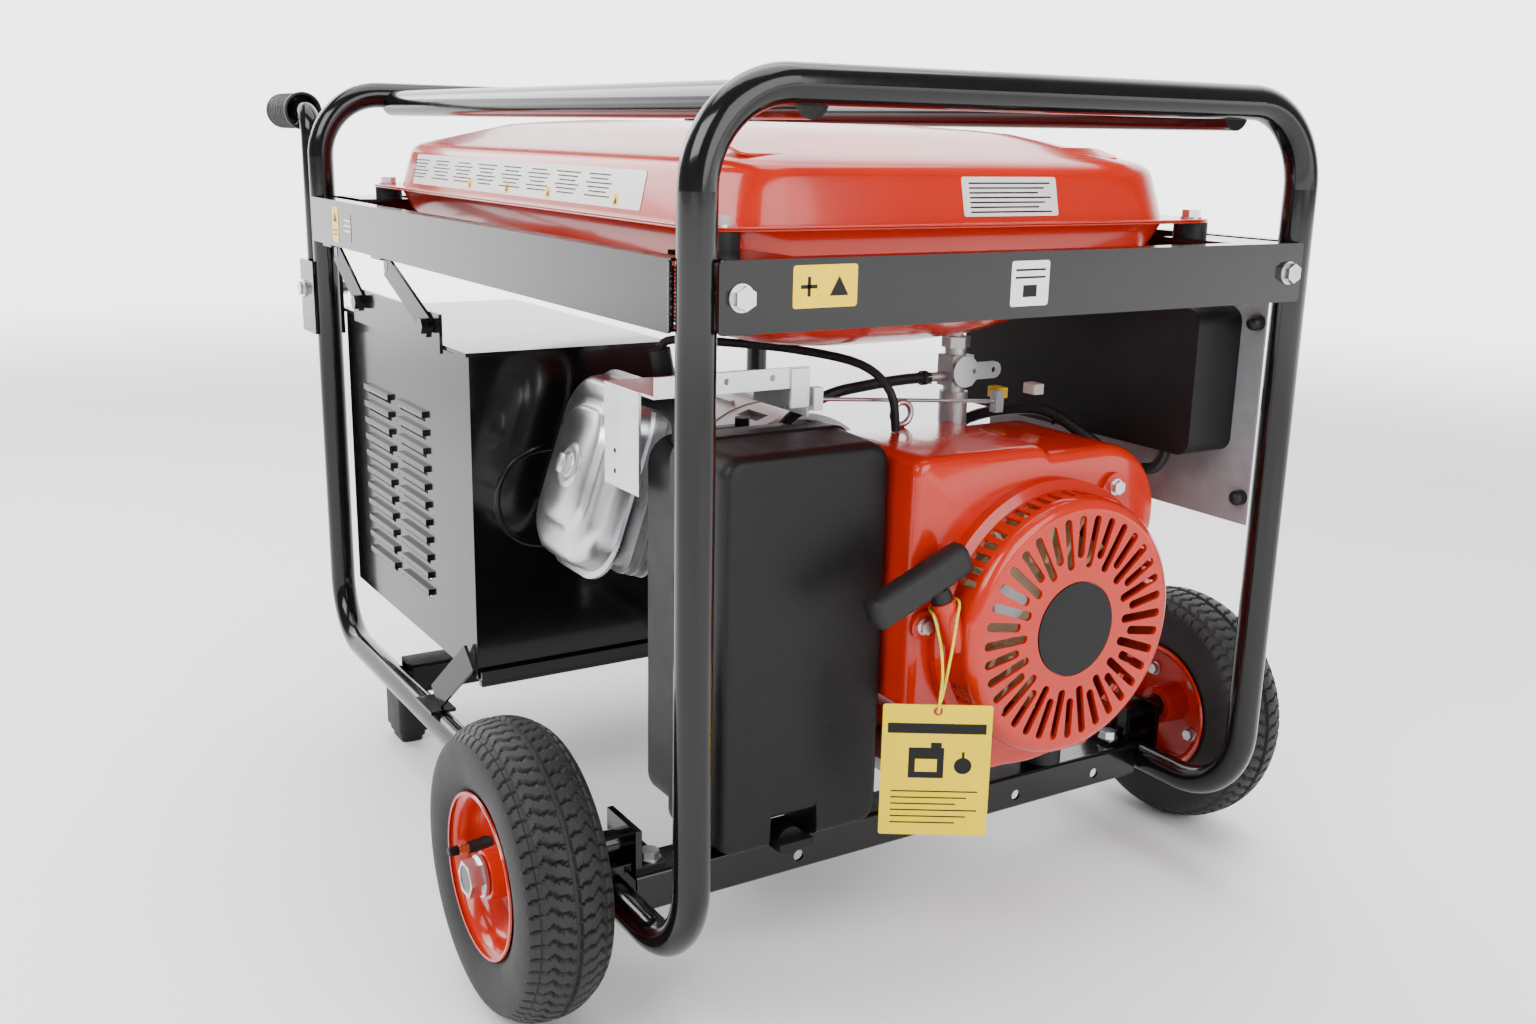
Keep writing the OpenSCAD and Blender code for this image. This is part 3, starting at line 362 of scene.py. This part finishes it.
def string():
    path = smooth_path([at(*point) for point in STRING_POINTS])
    rings = []
    side = frame_for(path[1] - path[0])[0]
    for i, p in enumerate(path):
        d = (path[min(i + 1, len(path) - 1)] - path[max(i - 1, 0)]).normalized()
        side = (side - d * side.dot(d)).normalized()
        up = d.cross(side)
        rings.append([p + (side * math.cos(a) + up * math.sin(a)) * STRING_RADIUS * MM
                      for a in (2 * math.pi * k / STRING_SIDES for k in range(STRING_SIDES))])
    obj = loft("tag_cord", rings, STRING, angle=80)
    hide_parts("tag_string")


print_on_tag()
string()


# ------------------------------------------------------------------ wheels
def tyre(which, body):
    lo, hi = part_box("tyre_" + which)
    centre, radius, half = (lo + hi) / 2, (hi.z - lo.z) / 2 / MM, (hi.y - lo.y) / 2 / MM
    around, lugs, groove = 420, 60, 2.8
    rows = []
    # Section from the inner bead over the tread to the outer bead: (across, radius)
    section = [(-0.56, 0.50), (-0.72, 0.515), (-0.84, 0.56), (-0.94, 0.63), (-0.99, 0.71), (-1.0, 0.78),
               (-0.985, 0.84), (-0.95, 0.885)]
    tread = [(-0.9 + 1.8 * i / 44) for i in range(45)]
    for a, r in section:
        rows.append((a * half, r * radius, 0))
    for t in tread:
        rows.append((t * half, radius * (1 - 0.105 * abs(t / 0.93) ** 2.4), 1))
    for a, r in reversed(section):
        rows.append((-a * half, r * radius, 0))
    rings = []
    for a, r, has_tread in rows:
        ring = []
        for k in range(around):
            turn = 2 * math.pi * k / around
            depth = 0.0
            if has_tread:
                t = a / half
                wave = 0.022 * math.sin(9 * t) + 0.012 * math.sin(21 * t)
                shift = wave if t > 0 else -wave + math.pi / lugs
                phase = ((turn + shift) * lugs / (2 * math.pi)) % 1
                if phase < 0.24:
                    depth = groove * min(1, (0.24 - phase) * 14, phase * 22)
                if abs(t) < 0.045:
                    depth = groove
                if abs(abs(t) - 0.72) < 0.03:
                    depth = max(depth, 1.4)
            elif abs(r - 0.71 * radius) < 1 or abs(r - 0.84 * radius) < 1:
                depth = 0.5
            rr = (r - depth) * MM
            ring.append(centre + Vector((rr * math.cos(turn), a * MM, rr * math.sin(turn))))
        rings.append(ring)
    obj = loft("tread_" + which, rings, TYRE, closed_ends=False, body=body, angle=30)
    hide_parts("tyre_" + which)


def rim(which, body, out):
    """Pressed steel rim; out is the direction away from the machine."""
    centre = mid("tyre_" + which)
    outer = out * Y
    # (distance towards the outside, radius)
    barrel = [(29.4, 57.5), (29.6, 59.4), (28.4, 60), (26.6, 58.6), (25.6, 55.6), (24, 53.6), (16, 52.6),
              (12, 51.5), (9, 48), (6, 44), (2.5, 41), (2.5, 30), (4, 27.5), (8, 25), (8.5, 19), (24.6, 17),
              (25, 15.2), (25, 10.4), (-25, 10.4), (-25, 17), (-2, 19), (-2.5, 44), (-4, 49.6), (-24, 50.5),
              (-28.4, 56), (-29.6, 58.6), (-28.6, 60), (-26.6, 58.6), (-24, 53.6)]
    obj = lathe("rim_steel_" + which, centre, outer, barrel, RED, n=128, body=body, closed_ends=False, angle=50)
    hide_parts("rim_" + which)
    for k in range(4):
        t = math.radians(45 + 90 * k)
        spot = centre + Vector((35 * math.cos(t), 0, 35 * math.sin(t))) * MM
        hex_bolt(f"rim_bolt_{which}_{k}", spot + outer * 2.5 * MM, outer, 10, body=body)
        hex_bolt(f"rim_nut_{which}_{k}", spot - outer * 2.5 * MM, -outer, 10, body=body)
    stem = centre + Vector((-44, 0, 0)) * MM
    lathe("valve_foot_" + which, stem, outer, [(2, 7), (5, 6.4), (12, 4.6), (20, 4.4)], RUBBER, n=28, body=body)
    lathe("valve_body_" + which, stem, outer, [(20, 3.1), (26, 3.1), (26.2, 2.6), (28, 2.6)], BRASS, n=24,
          body=body)
    lathe("valve_cap_" + which, stem, outer, [(27.6, 3.7), (34, 3.6), (35, 2.6)], BLACK_SATIN, n=24, body=body)


for which, out in (("near", -1), ("far", 1)):
    tyre(which, "wheel_" + which)
    rim(which, "wheel_" + which, out)


# ------------------------------------------------------------------ tank
def tank():
    """Two pressed shells with a flange between them, and low pads on the crown."""
    width, depth = 664, 426
    flange = rounded(700, 456, 24, 8)
    lo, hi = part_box("tank_upper")
    top = (hi.z - lo.z) / MM
    origin = Vector((CENTRE_X, 0, lo.z))

    def ring(middle, outline, z):
        return [middle + Vector((x, y, z)) * MM for x, y in outline]
    # (height above the seam, inset of the outline, corner radius, inset across)
    shape = [(0, 0, 52, 0), (1.5, 0.7, 52, 0.7), (18, 8.4, 51, 8.4), (32, 15, 50, 15), (35.5, 17.5, 50, 17.5),
             (38, 21, 49, 21), (40, 26, 48, 26), (41.5, 31, 47, 31), (43, 38, 47, 37), (46, 58, 50, 52),
             (50, 90, 54, 76), (54, 122, 58, 99), (58, 154, 61, 122), (62, 188, 60, 148), (64.5, 240, 58, 185),
             (66.3, 300, 54, 228), (top - 0.1, 335, 50, 252)]
    rings = [ring(origin, rounded(width - i, depth - g, r, 14), z) for z, i, r, g in shape]
    upper = loft("tank_shell_top", rings, RED, angle=70)
    loft("tank_flange_top", [ring(origin, flange, z) for z in (0.1, 1.5)], RED, edge=0.5)
    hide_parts("tank_upper")
    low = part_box("tank_lower")
    drop = (low[1].z - low[0].z) / MM
    base = Vector((CENTRE_X, 0, low[1].z))
    # The same for the lower shell, downwards, with the inset across on top of the outline's
    shape = [(0, 0, 52, 0), (-4, 1, 52, 0), (-20, 10, 56, 4), (-37, 34, 60, 6), (-52, 70, 60, 8),
             (-70, 112, 60, 10), (-84, 150, 60, 12), (-94, 190, 60, 14), (-drop + 0.4, 232, 60, 16)]
    rings = [ring(base, rounded(width - i, depth - i - g, r, 14), z) for z, i, r, g in shape]
    lower = loft("tank_shell_base", rings, RED, angle=70)
    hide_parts("tank_lower")
    loft("tank_flange_base", [ring(base, flange, z) for z in (-1.4, -0.1)], RED, edge=0.5)
    # Pressed pads along the front shoulder of the crown: (middle across the machine, width)
    slope = Vector((-math.cos(math.radians(14)), 0, math.sin(math.radians(14))))
    for k, (y, wide) in enumerate(((-132, 92), (4, 84), (142, 44))):
        slab(f"tank_pad_{k}", origin + Vector((288, y, 49.6)) * MM, Y, -slope, rounded(wide, 30, 8, 6), 2.4,
             RED, edge=1.0)


tank()


# ------------------------------------------------------------------ engine cover pieces
# Where the cylinder's middle line crosses the crankshaft, and how far it rises from level
CRANK = (62, 82, 253)
CYLINDER_TILT = math.radians(18.6)
# Where the starter rope leaves its guide, and how far the pull leans towards the operator
ROPE_MOUTH = (355.2, -34, 290)
PULL_TILT = math.radians(23)


def rocker():
    """Pressed zinc cover on the end of the tilted cylinder."""
    out = Vector((0, -math.cos(CYLINDER_TILT), math.sin(CYLINDER_TILT)))
    up = Vector((0, math.sin(CYLINDER_TILT), math.cos(CYLINDER_TILT)))
    crank = at(*CRANK)
    # (distance from the crankshaft, width, height, corner radius)
    shape = [(260.2, 132, 172, 44), (263, 132, 172, 44), (263.4, 128, 168, 42), (263.8, 122, 162, 40),
             (268, 119, 159, 39), (276, 117, 157, 38), (282, 112, 152, 37), (285.5, 104, 144, 34),
             (286.8, 96, 136, 31), (287, 80, 118, 27), (287.6, 76, 104, 26), (291, 73, 99, 25),
             (292.8, 68, 92, 23)]
    rings = [[crank + (out * z + X * a + up * b) * MM for a, b in rounded(w, h, r, 10)] for z, w, h, r in shape]
    obj = loft("rocker_pressing", rings, ZINC, angle=60)
    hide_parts("rocker_cover")
    seat = crank + out * 292.7 * MM
    lathe("rocker_washer", seat, out, [(0, 19), (1.2, 19), (2.2, 17.5), (2.6, 14), (1.8, 11)], ZINC, n=56)
    hex_bolt("rocker_bolt", seat + out * 1.8 * MM, out, 16)


rocker()


def air_cover():
    """Lid with a stepped lip and a notch for the wing knob in its bottom edge."""
    lo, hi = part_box("air_cover")
    w, h, d = ((hi - lo).y / MM, (hi - lo).z / MM, (hi - lo).x / MM)
    base = Vector((lo.x, (lo.y + hi.y) / 2, (lo.z + hi.z) / 2))
    knob = (mid("air_knob").y - base.y) / MM
    # (distance from the base, inset, corner radius, height of the notch)
    shape = [(0, 0, 16, 0), (6, 0, 16, 0), (7, 3, 15, 0), (9, 3.6, 15, 0), (9.2, 3.7, 15, 22),
             (d - 11, 6.5, 15, 22), (d - 5, 8.5, 14.5, 22), (d - 2, 12, 13, 22), (d - 0.6, 16, 12, 22),
             (d - 0.1, 22, 10, 22)]
    rings = []
    for x, inset, r, notch in shape:
        outline = rounded(w - inset, h - inset, r, 10)
        low = -(h - inset) / 2
        bottom = [(knob - 21, low), (knob - 20, low + notch), (knob + 20, low + notch), (knob + 21, low)]
        rings.append([base + Vector((x, a, b)) * MM for a, b in outline[:33] + bottom + outline[33:]])
    obj = loft("air_box_lid", rings, BLACK_SATIN, angle=50)
    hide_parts("air_cover")


air_cover()


def starter_grip():
    """Ribbed rubber grip across the end of the rope."""
    pull = Vector((0, -math.sin(PULL_TILT), math.cos(PULL_TILT)))
    along = Vector((0, math.cos(PULL_TILT), math.sin(PULL_TILT)))
    mouth = at(*ROPE_MOUTH)
    half = 46
    centre = mouth + (pull * 20 + along * -15) * MM
    rings = []
    for k in range(25):
        s = -half + 2 * half * k / 24
        swell = 1 - 0.1 * abs(s / half) ** 6 - 0.55 * max(0, abs(s / half) - 0.93) / 0.07
        rib = 0.5 if k % 3 == 1 and abs(s) < 36 else 0
        rings.append([centre + (along * s + X * a + pull * b) * MM
                      for a, b in rounded((21 - rib * 2) * swell, (25 - rib * 2) * swell, 7 * swell, 6)])
    grip = loft("pull_grip", rings, RUBBER, body="starter_grip", angle=60)
    lathe("pull_skirt", mouth, pull, [(-1.6, 7.8), (2, 7.8), (8, 7)], RUBBER, n=32, body="starter_grip")
    cable("pull_rope", [mouth + pull * t * MM for t in (-118, -60, -20, 8)], 2.4, INK, body="starter_grip")
    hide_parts("starter_grip")


starter_grip()


def handle_grips():
    for which in ("near", "far"):
        lo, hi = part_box("handle_grip_" + which)
        centre_y, centre_z = (lo.y + hi.y) / 2, (lo.z + hi.z) / 2
        length = (hi.x - lo.x) / MM
        start = Vector((hi.x, centre_y, centre_z))
        profile = [(0.2, 17), (0.6, 19.2), (4, 19.2), (5, 16.6)]
        a = 9.0
        while a < length - 14:
            profile += [(a, 16.6), (a + 0.8, 18.2), (a + 3.2, 18.2), (a + 4.0, 16.6)]
            a += 7.0
        profile += [(length - 10, 16.8), (length - 8, 18.2), (length - 2.5, 18.2), (length - 0.5, 16),
                    (length - 0.2, 11)]
        obj = lathe("grip_sleeve_" + which, start, -X, profile, RUBBER, n=64, body="handle_" + which, angle=60,
                    closed_ends=False)
        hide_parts("handle_grip_" + which)


handle_grips()


def shroud():
    """Pressed blower housing with a rolled front edge, open in front where the starter cover sits."""
    centre = mid("recoil_disc")
    lo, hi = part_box("blower_shroud")
    back, front = lo.x, hi.x

    def inside(a, b):
        round_front = a * a + b * b < 128 ** 2
        near_side = -128 <= a <= 0 and -60 <= b <= 136
        far_side = 0 <= a <= 60 and -60 <= b <= 130
        far_corner = (a - 60) ** 2 + (b - 70) ** 2 < 60 ** 2
        foot = abs(a) <= 70 and -126 <= b <= -66
        return round_front or near_side or far_side or far_corner or foot
    n, step, reach = 240, 0.25, []
    for k in range(n):
        t = 2 * math.pi * k / n
        r = 90.0
        while inside((r + step) * math.cos(t), (r + step) * math.sin(t)):
            r += step
        reach.append(r)
    for _ in range(2):
        reach = [min(reach[k], (reach[k - 1] + reach[k] + reach[(k + 1) % n]) / 3) for k in range(n)]

    def ring(x, inset=None, radius=None):
        points = []
        for k in range(n):
            r, t = radius or reach[k] - inset, 2 * math.pi * k / n
            points.append(Vector((x, centre.y + r * math.cos(t) * MM, centre.z + r * math.sin(t) * MM)))
        return points
    rings = [ring(back + 0.1 * MM, radius=60.5), ring(back, 3.0), ring(back + 1 * MM, 0.4),
             ring(back + 3 * MM, 0.05)]
    rings += [ring(front - d * MM, i) for d, i in ((8, 0.05), (5, 0.9), (2.5, 2.8), (0.9, 5.2), (0, 9))]
    rings += [ring(front, radius=108), ring(front - 3 * MM, radius=107.6)]
    obj = loft("blower_housing", rings, RED, closed_ends=False, angle=60)
    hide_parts("blower_shroud")


shroud()


# ------------------------------------------------------------------ silencer louvres
def louvres():
    """Pressed hoods over the slots of the silencer's side sheet, in two columns."""
    face_y, width, sheet = -250.2, 76, 0.9
    for col in range(2):
        for row in range(11):
            x0, z0 = -310 + col * 100, 186 + row * 17
            rings = []
            for k in range(9):
                t = math.pi / 2 * k / 8
                out, up = 3.7 * math.sin(t), 6 * math.cos(t) if k < 8 else 0
                left, right = x0 + 1 + 2 * math.sin(t), x0 + width - 1 - 2 * math.sin(t)
                y, z = face_y - out, z0 + up
                rings.append([at(left, y, z), at(right, y, z), at(right, y + sheet, z), at(left, y + sheet, z)])
            loft(f"louvre_{col}_{row}", rings, BLACK_GLOSS, angle=50)


louvres()


# ------------------------------------------------------------------ labels
def label(name, centre, u, v, w, h, mat, marks=()):
    """A blank vinyl label with generic printed shapes."""
    u, v = u.normalized(), v.normalized()
    n = u.cross(v)
    obj = slab(name, centre + n * 0.1 * MM, u, v, rounded(w, h, 2, 4), 0.25, mat)
    for k, (outline, ink) in enumerate(marks):
        slab(f"{name}_mark_{k}", centre + n * 0.36 * MM, u, v, outline, 0.05, ink)
    return obj


def bar(a, b, w, h):
    return [(a - w / 2, b - h / 2), (a + w / 2, b - h / 2), (a + w / 2, b + h / 2), (a - w / 2, b + h / 2)]


def triangle(a, b, size):
    return [(a - size / 2, b - size * 0.43), (a + size / 2, b - size * 0.43), (a, b + size * 0.43)]


LEAN = math.radians(13.12)
SIDE_UP = Vector((0, math.sin(LEAN), math.cos(LEAN)))
FRONT_UP = Vector((-math.sin(LEAN), 0, math.cos(LEAN)))
side_marks = [(bar(-225 + 56 * k, 9 - 3.2 * row, 44 - 7 * ((k + row) % 3), 1.1), INK)
              for k in range(8) for row in range(6)]
side_marks += [mark for a in (-90, -5, 80, 200)
               for mark in ((bar(a, -8.4, 9, 9), LABEL_YELLOW), (triangle(a, -8.4, 6), INK))]
front_marks = [(bar(-3 * (row % 3), 9.5 - 3.4 * row, 76 - 6 * (row % 3), 1.2), INK) for row in range(7)]
labels = [
    label("label_tank_side", at(-18, -208.81, 574.5), X, SIDE_UP, 480, 28, LABEL, side_marks),
    label("label_tank_front", at(327.81, 32, 574.5), Y, FRONT_UP, 88, 28, LABEL, front_marks),
    label("label_beam_choke", at(408.5, -180.5, 526), Y, Z, 47, 26, LABEL_YELLOW,
          [(bar(-12, 0, 12, 2.4), INK), (bar(-12, 0, 2.4, 12), INK), (triangle(10, 0, 14), INK)]),
    label("label_beam_white", at(408.5, -16.5, 522), Y, Z, 33, 30, LABEL,
          [(bar(0, 9, 26, 1.4), INK), (bar(0, 4, 26, 1.4), INK), (bar(0, -5, 12, 8), INK)]),
    label("label_beam_strip", at(-301, -276.5, 520), X, Z, 20, 34, LABEL_YELLOW,
          [(triangle(0, 8, 12), INK), (bar(0, -5, 14, 1.2), INK), (bar(0, -9, 14, 1.2), INK)]),
    label("label_beam_lines", at(-262, -276.5, 519), X, Z, 24, 26, GREY,
          [(bar(0, 7, 20, 1.6), LABEL), (bar(0, 2, 20, 1.6), LABEL), (bar(0, -3, 20, 1.6), LABEL)])]
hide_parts("decals")


# ------------------------------------------------------------------ small fittings
def clamp(name, centre, axis, radius):
    """Spring band round a hose, with its two ears."""
    wide, thick = 5, 0.9
    band = [(0, radius), (0, radius + thick), (wide, radius + thick), (wide, radius)]
    lathe(name, centre - axis.normalized() * wide / 2 * MM, axis, band, ZINC, n=36)
    side = frame_for(axis)[0]
    for k, turn in enumerate((-0.3, 0.3)):
        out = (side + axis.normalized().cross(side) * turn).normalized()
        slab(f"{name}_ear_{k}", centre + out * (radius + 0.5) * MM, axis.normalized(), out,
             bar(0, 2.5, 4, 5), 0.8, ZINC)


clamp("clamp_tap", at(200, 60.5, 422), Y, 4.7)
clamp("clamp_carburettor", at(150, -90, 350.5), Y, 4.7)
for k, (x, y, z) in enumerate(((222, 162, 398), (196, 145, 392))):
    slab(f"plug_block_{k}", at(x, y, z + 7), X, Y, rounded(16, 11, 2, 3), 9, (WHITE, LABEL_YELLOW)[k], edge=0.6)
for k, (x, y, z) in enumerate(((288, 208, 352), (240, 173, 386))):
    lathe(f"cable_tie_{k}", at(x, y, z), Vector((-0.7, -0.6, 0.4)),
          [(-1.5, 5.2), (-1.5, 6.2), (1.5, 6.2), (1.5, 5.2)], INK, n=24)


def lifting_eye():
    """Ring bolt on the top of the crankcase side of the blower housing."""
    centre, ring_radius, wire, steps, sides = at(226, 20, 400), 9, 2.6, 48, 14
    rings = []
    for k in range(steps + 1):
        t = 2 * math.pi * k / steps
        out = Y * math.cos(t) + Z * math.sin(t)
        middle = centre + out * ring_radius * MM
        rings.append([middle + (out * math.cos(a) + X * math.sin(a)) * wire * MM
                      for a in (2 * math.pi * j / sides for j in range(sides))])
    loft("lifting_eye", rings, ZINC, closed_ends=False, angle=80)


lifting_eye()

# Faint pressed ring on the end plate of the silencer cover, and its rolled bottom edge
lathe("silencer_ring", at(-19.95, -185, 300), X, [(0, 46), (0.7, 45), (0.9, 43), (0.7, 41), (0, 40)],
      BLACK_GLOSS, n=72, closed_ends=False)
cable("silencer_roll", [at(-16.5, y, 137) for y in (-249, -200, -110, -64)], 2.6, BLACK_GLOSS)


# ------------------------------------------------------------------ weld beads
def weld(name, start, end, radius=2.0):
    """A rippled bead along a joint, half sunk in both parts."""
    axis = end - start
    side, up = frame_for(axis)
    count = max(6, int(axis.length / MM / 2.2))
    rings = []
    for k in range(count * 4 + 1):
        t = k / (count * 4)
        uneven = noise.noise(Vector((k * 0.7, start.x * 90, start.z * 90)))
        swell = 1 + 0.22 * math.cos(2 * math.pi * count * t) + 0.1 * uneven
        if k in (0, count * 4):
            swell = 0.3
        rings.append([start + axis * t + (side * math.cos(a) + up * math.sin(a)) * radius * swell * MM
                      for a in (2 * math.pi * j / 10 for j in range(10))])
    loft(name, rings, BLACK_GLOSS, angle=70)


for sx in (-1, 1):
    for sy in (-1, 1):
        corner = f"{sx}_{sy}".replace("-", "m")
        weld("weld_side_" + corner, at(sx * 386, sy * 274.6, 502), at(sx * 386, sy * 274.6, 540))
        weld("weld_rail_" + corner, at(sx * 381, sy * 174, 638), at(sx * 381, sy * 194, 638))


# ------------------------------------------------------------------ floor and light
DIM_WORLD, BRIGHT_WORLD = 0.32, 4.0
# Towards the bright wall, which is behind the machine as the camera sees it
WALL_SIDE = (-0.848, 0.53, 0.0)
# Metres from the middle between which a painted glow (emission on the floor) brightens the floor into the wall
FLOOR_NEAR, FLOOR_FAR = 1.4, 5.0
# Strength of the painted glow: emission given to the floor far from the middle
FLOOR_PAINTED_GLOW = 2.6
FLOOR_HALF = 12.0
# (name, place in millimetres, width and height in metres, watts)
LAMPS = [("key", (900, -1900, 1900), 1.6, 1.2, 60), ("fill", (2200, 300, 1200), 1.4, 1.4, 35),
         ("top", (-100, 100, 2500), 2.4, 1.6, 60), ("rim", (-1700, -900, 1500), 1.2, 1.2, 30)]
LAMP_TARGET = (0, 0, 300)


def smooth_range(nodes, *limits):
    """A node that eases from one value to another: from min, from max, to min, to max."""
    node = nodes.new("ShaderNodeMapRange")
    node.interpolation_type = "SMOOTHERSTEP"
    for socket, value in zip(("From Min", "From Max", "To Min", "To Max"), limits):
        node.inputs[socket].default_value = value
    return node


def make_floor():
    mat = material("floor_white", (0.86, 0.86, 0.86), 0.55, mottle=0.015, scale=3, grain=40, bump=0.01)
    n, link = mat.node_tree.nodes, mat.node_tree.links.new
    away = n.new("ShaderNodeVectorMath")
    away.operation = "LENGTH"
    link(n.new("ShaderNodeTexCoord").outputs["Object"], away.inputs[0])
    # Painted glow: the floor emits more light the farther it is from the middle, so it brightens into the wall
    # without any lamp lighting it
    painted_floor_glow = smooth_range(n, FLOOR_NEAR, FLOOR_FAR, 0.0, FLOOR_PAINTED_GLOW)
    link(away.outputs["Value"], painted_floor_glow.inputs["Value"])
    link(painted_floor_glow.outputs["Result"], n["Principled BSDF"].inputs["Emission Strength"])
    n["Principled BSDF"].inputs["Emission Color"].default_value = (1, 1, 1, 1)
    corners = [(a * FLOOR_HALF, b * FLOOR_HALF, 0) for a, b in ((-1, -1), (1, -1), (1, 1), (-1, 1))]
    piece("floor", corners, [(0, 1, 2, 3)], mat, body=None)


def make_room():
    """A dim room with one broad bright wall."""
    world = bpy.data.worlds.new("studio")
    bpy.context.scene.world = world
    world.use_nodes = True
    n, link = world.node_tree.nodes, world.node_tree.links.new
    towards = n.new("ShaderNodeVectorMath")
    towards.operation = "DOT_PRODUCT"
    link(n.new("ShaderNodeTexCoord").outputs["Generated"], towards.inputs[0])
    towards.inputs[1].default_value = WALL_SIDE
    wall = smooth_range(n, 0.1, 0.8, DIM_WORLD, BRIGHT_WORLD)
    link(towards.outputs["Value"], wall.inputs["Value"])
    link(wall.outputs["Result"], n["Background"].inputs["Strength"])
    n["Background"].inputs["Color"].default_value = (1, 1, 1, 1)


def make_lamps():
    target = at(*LAMP_TARGET)
    for name, place, width, height, power in LAMPS:
        lamp = bpy.data.lights.new(name, "AREA")
        lamp.shape, lamp.size, lamp.size_y, lamp.energy = "RECTANGLE", width, height, power
        obj = bpy.data.objects.new(name, lamp)
        bpy.context.scene.collection.objects.link(obj)
        obj.location = at(*place)
        obj.rotation_euler = (target - obj.location).to_track_quat("-Z", "Y").to_euler()


make_floor()
make_room()
make_lamps()
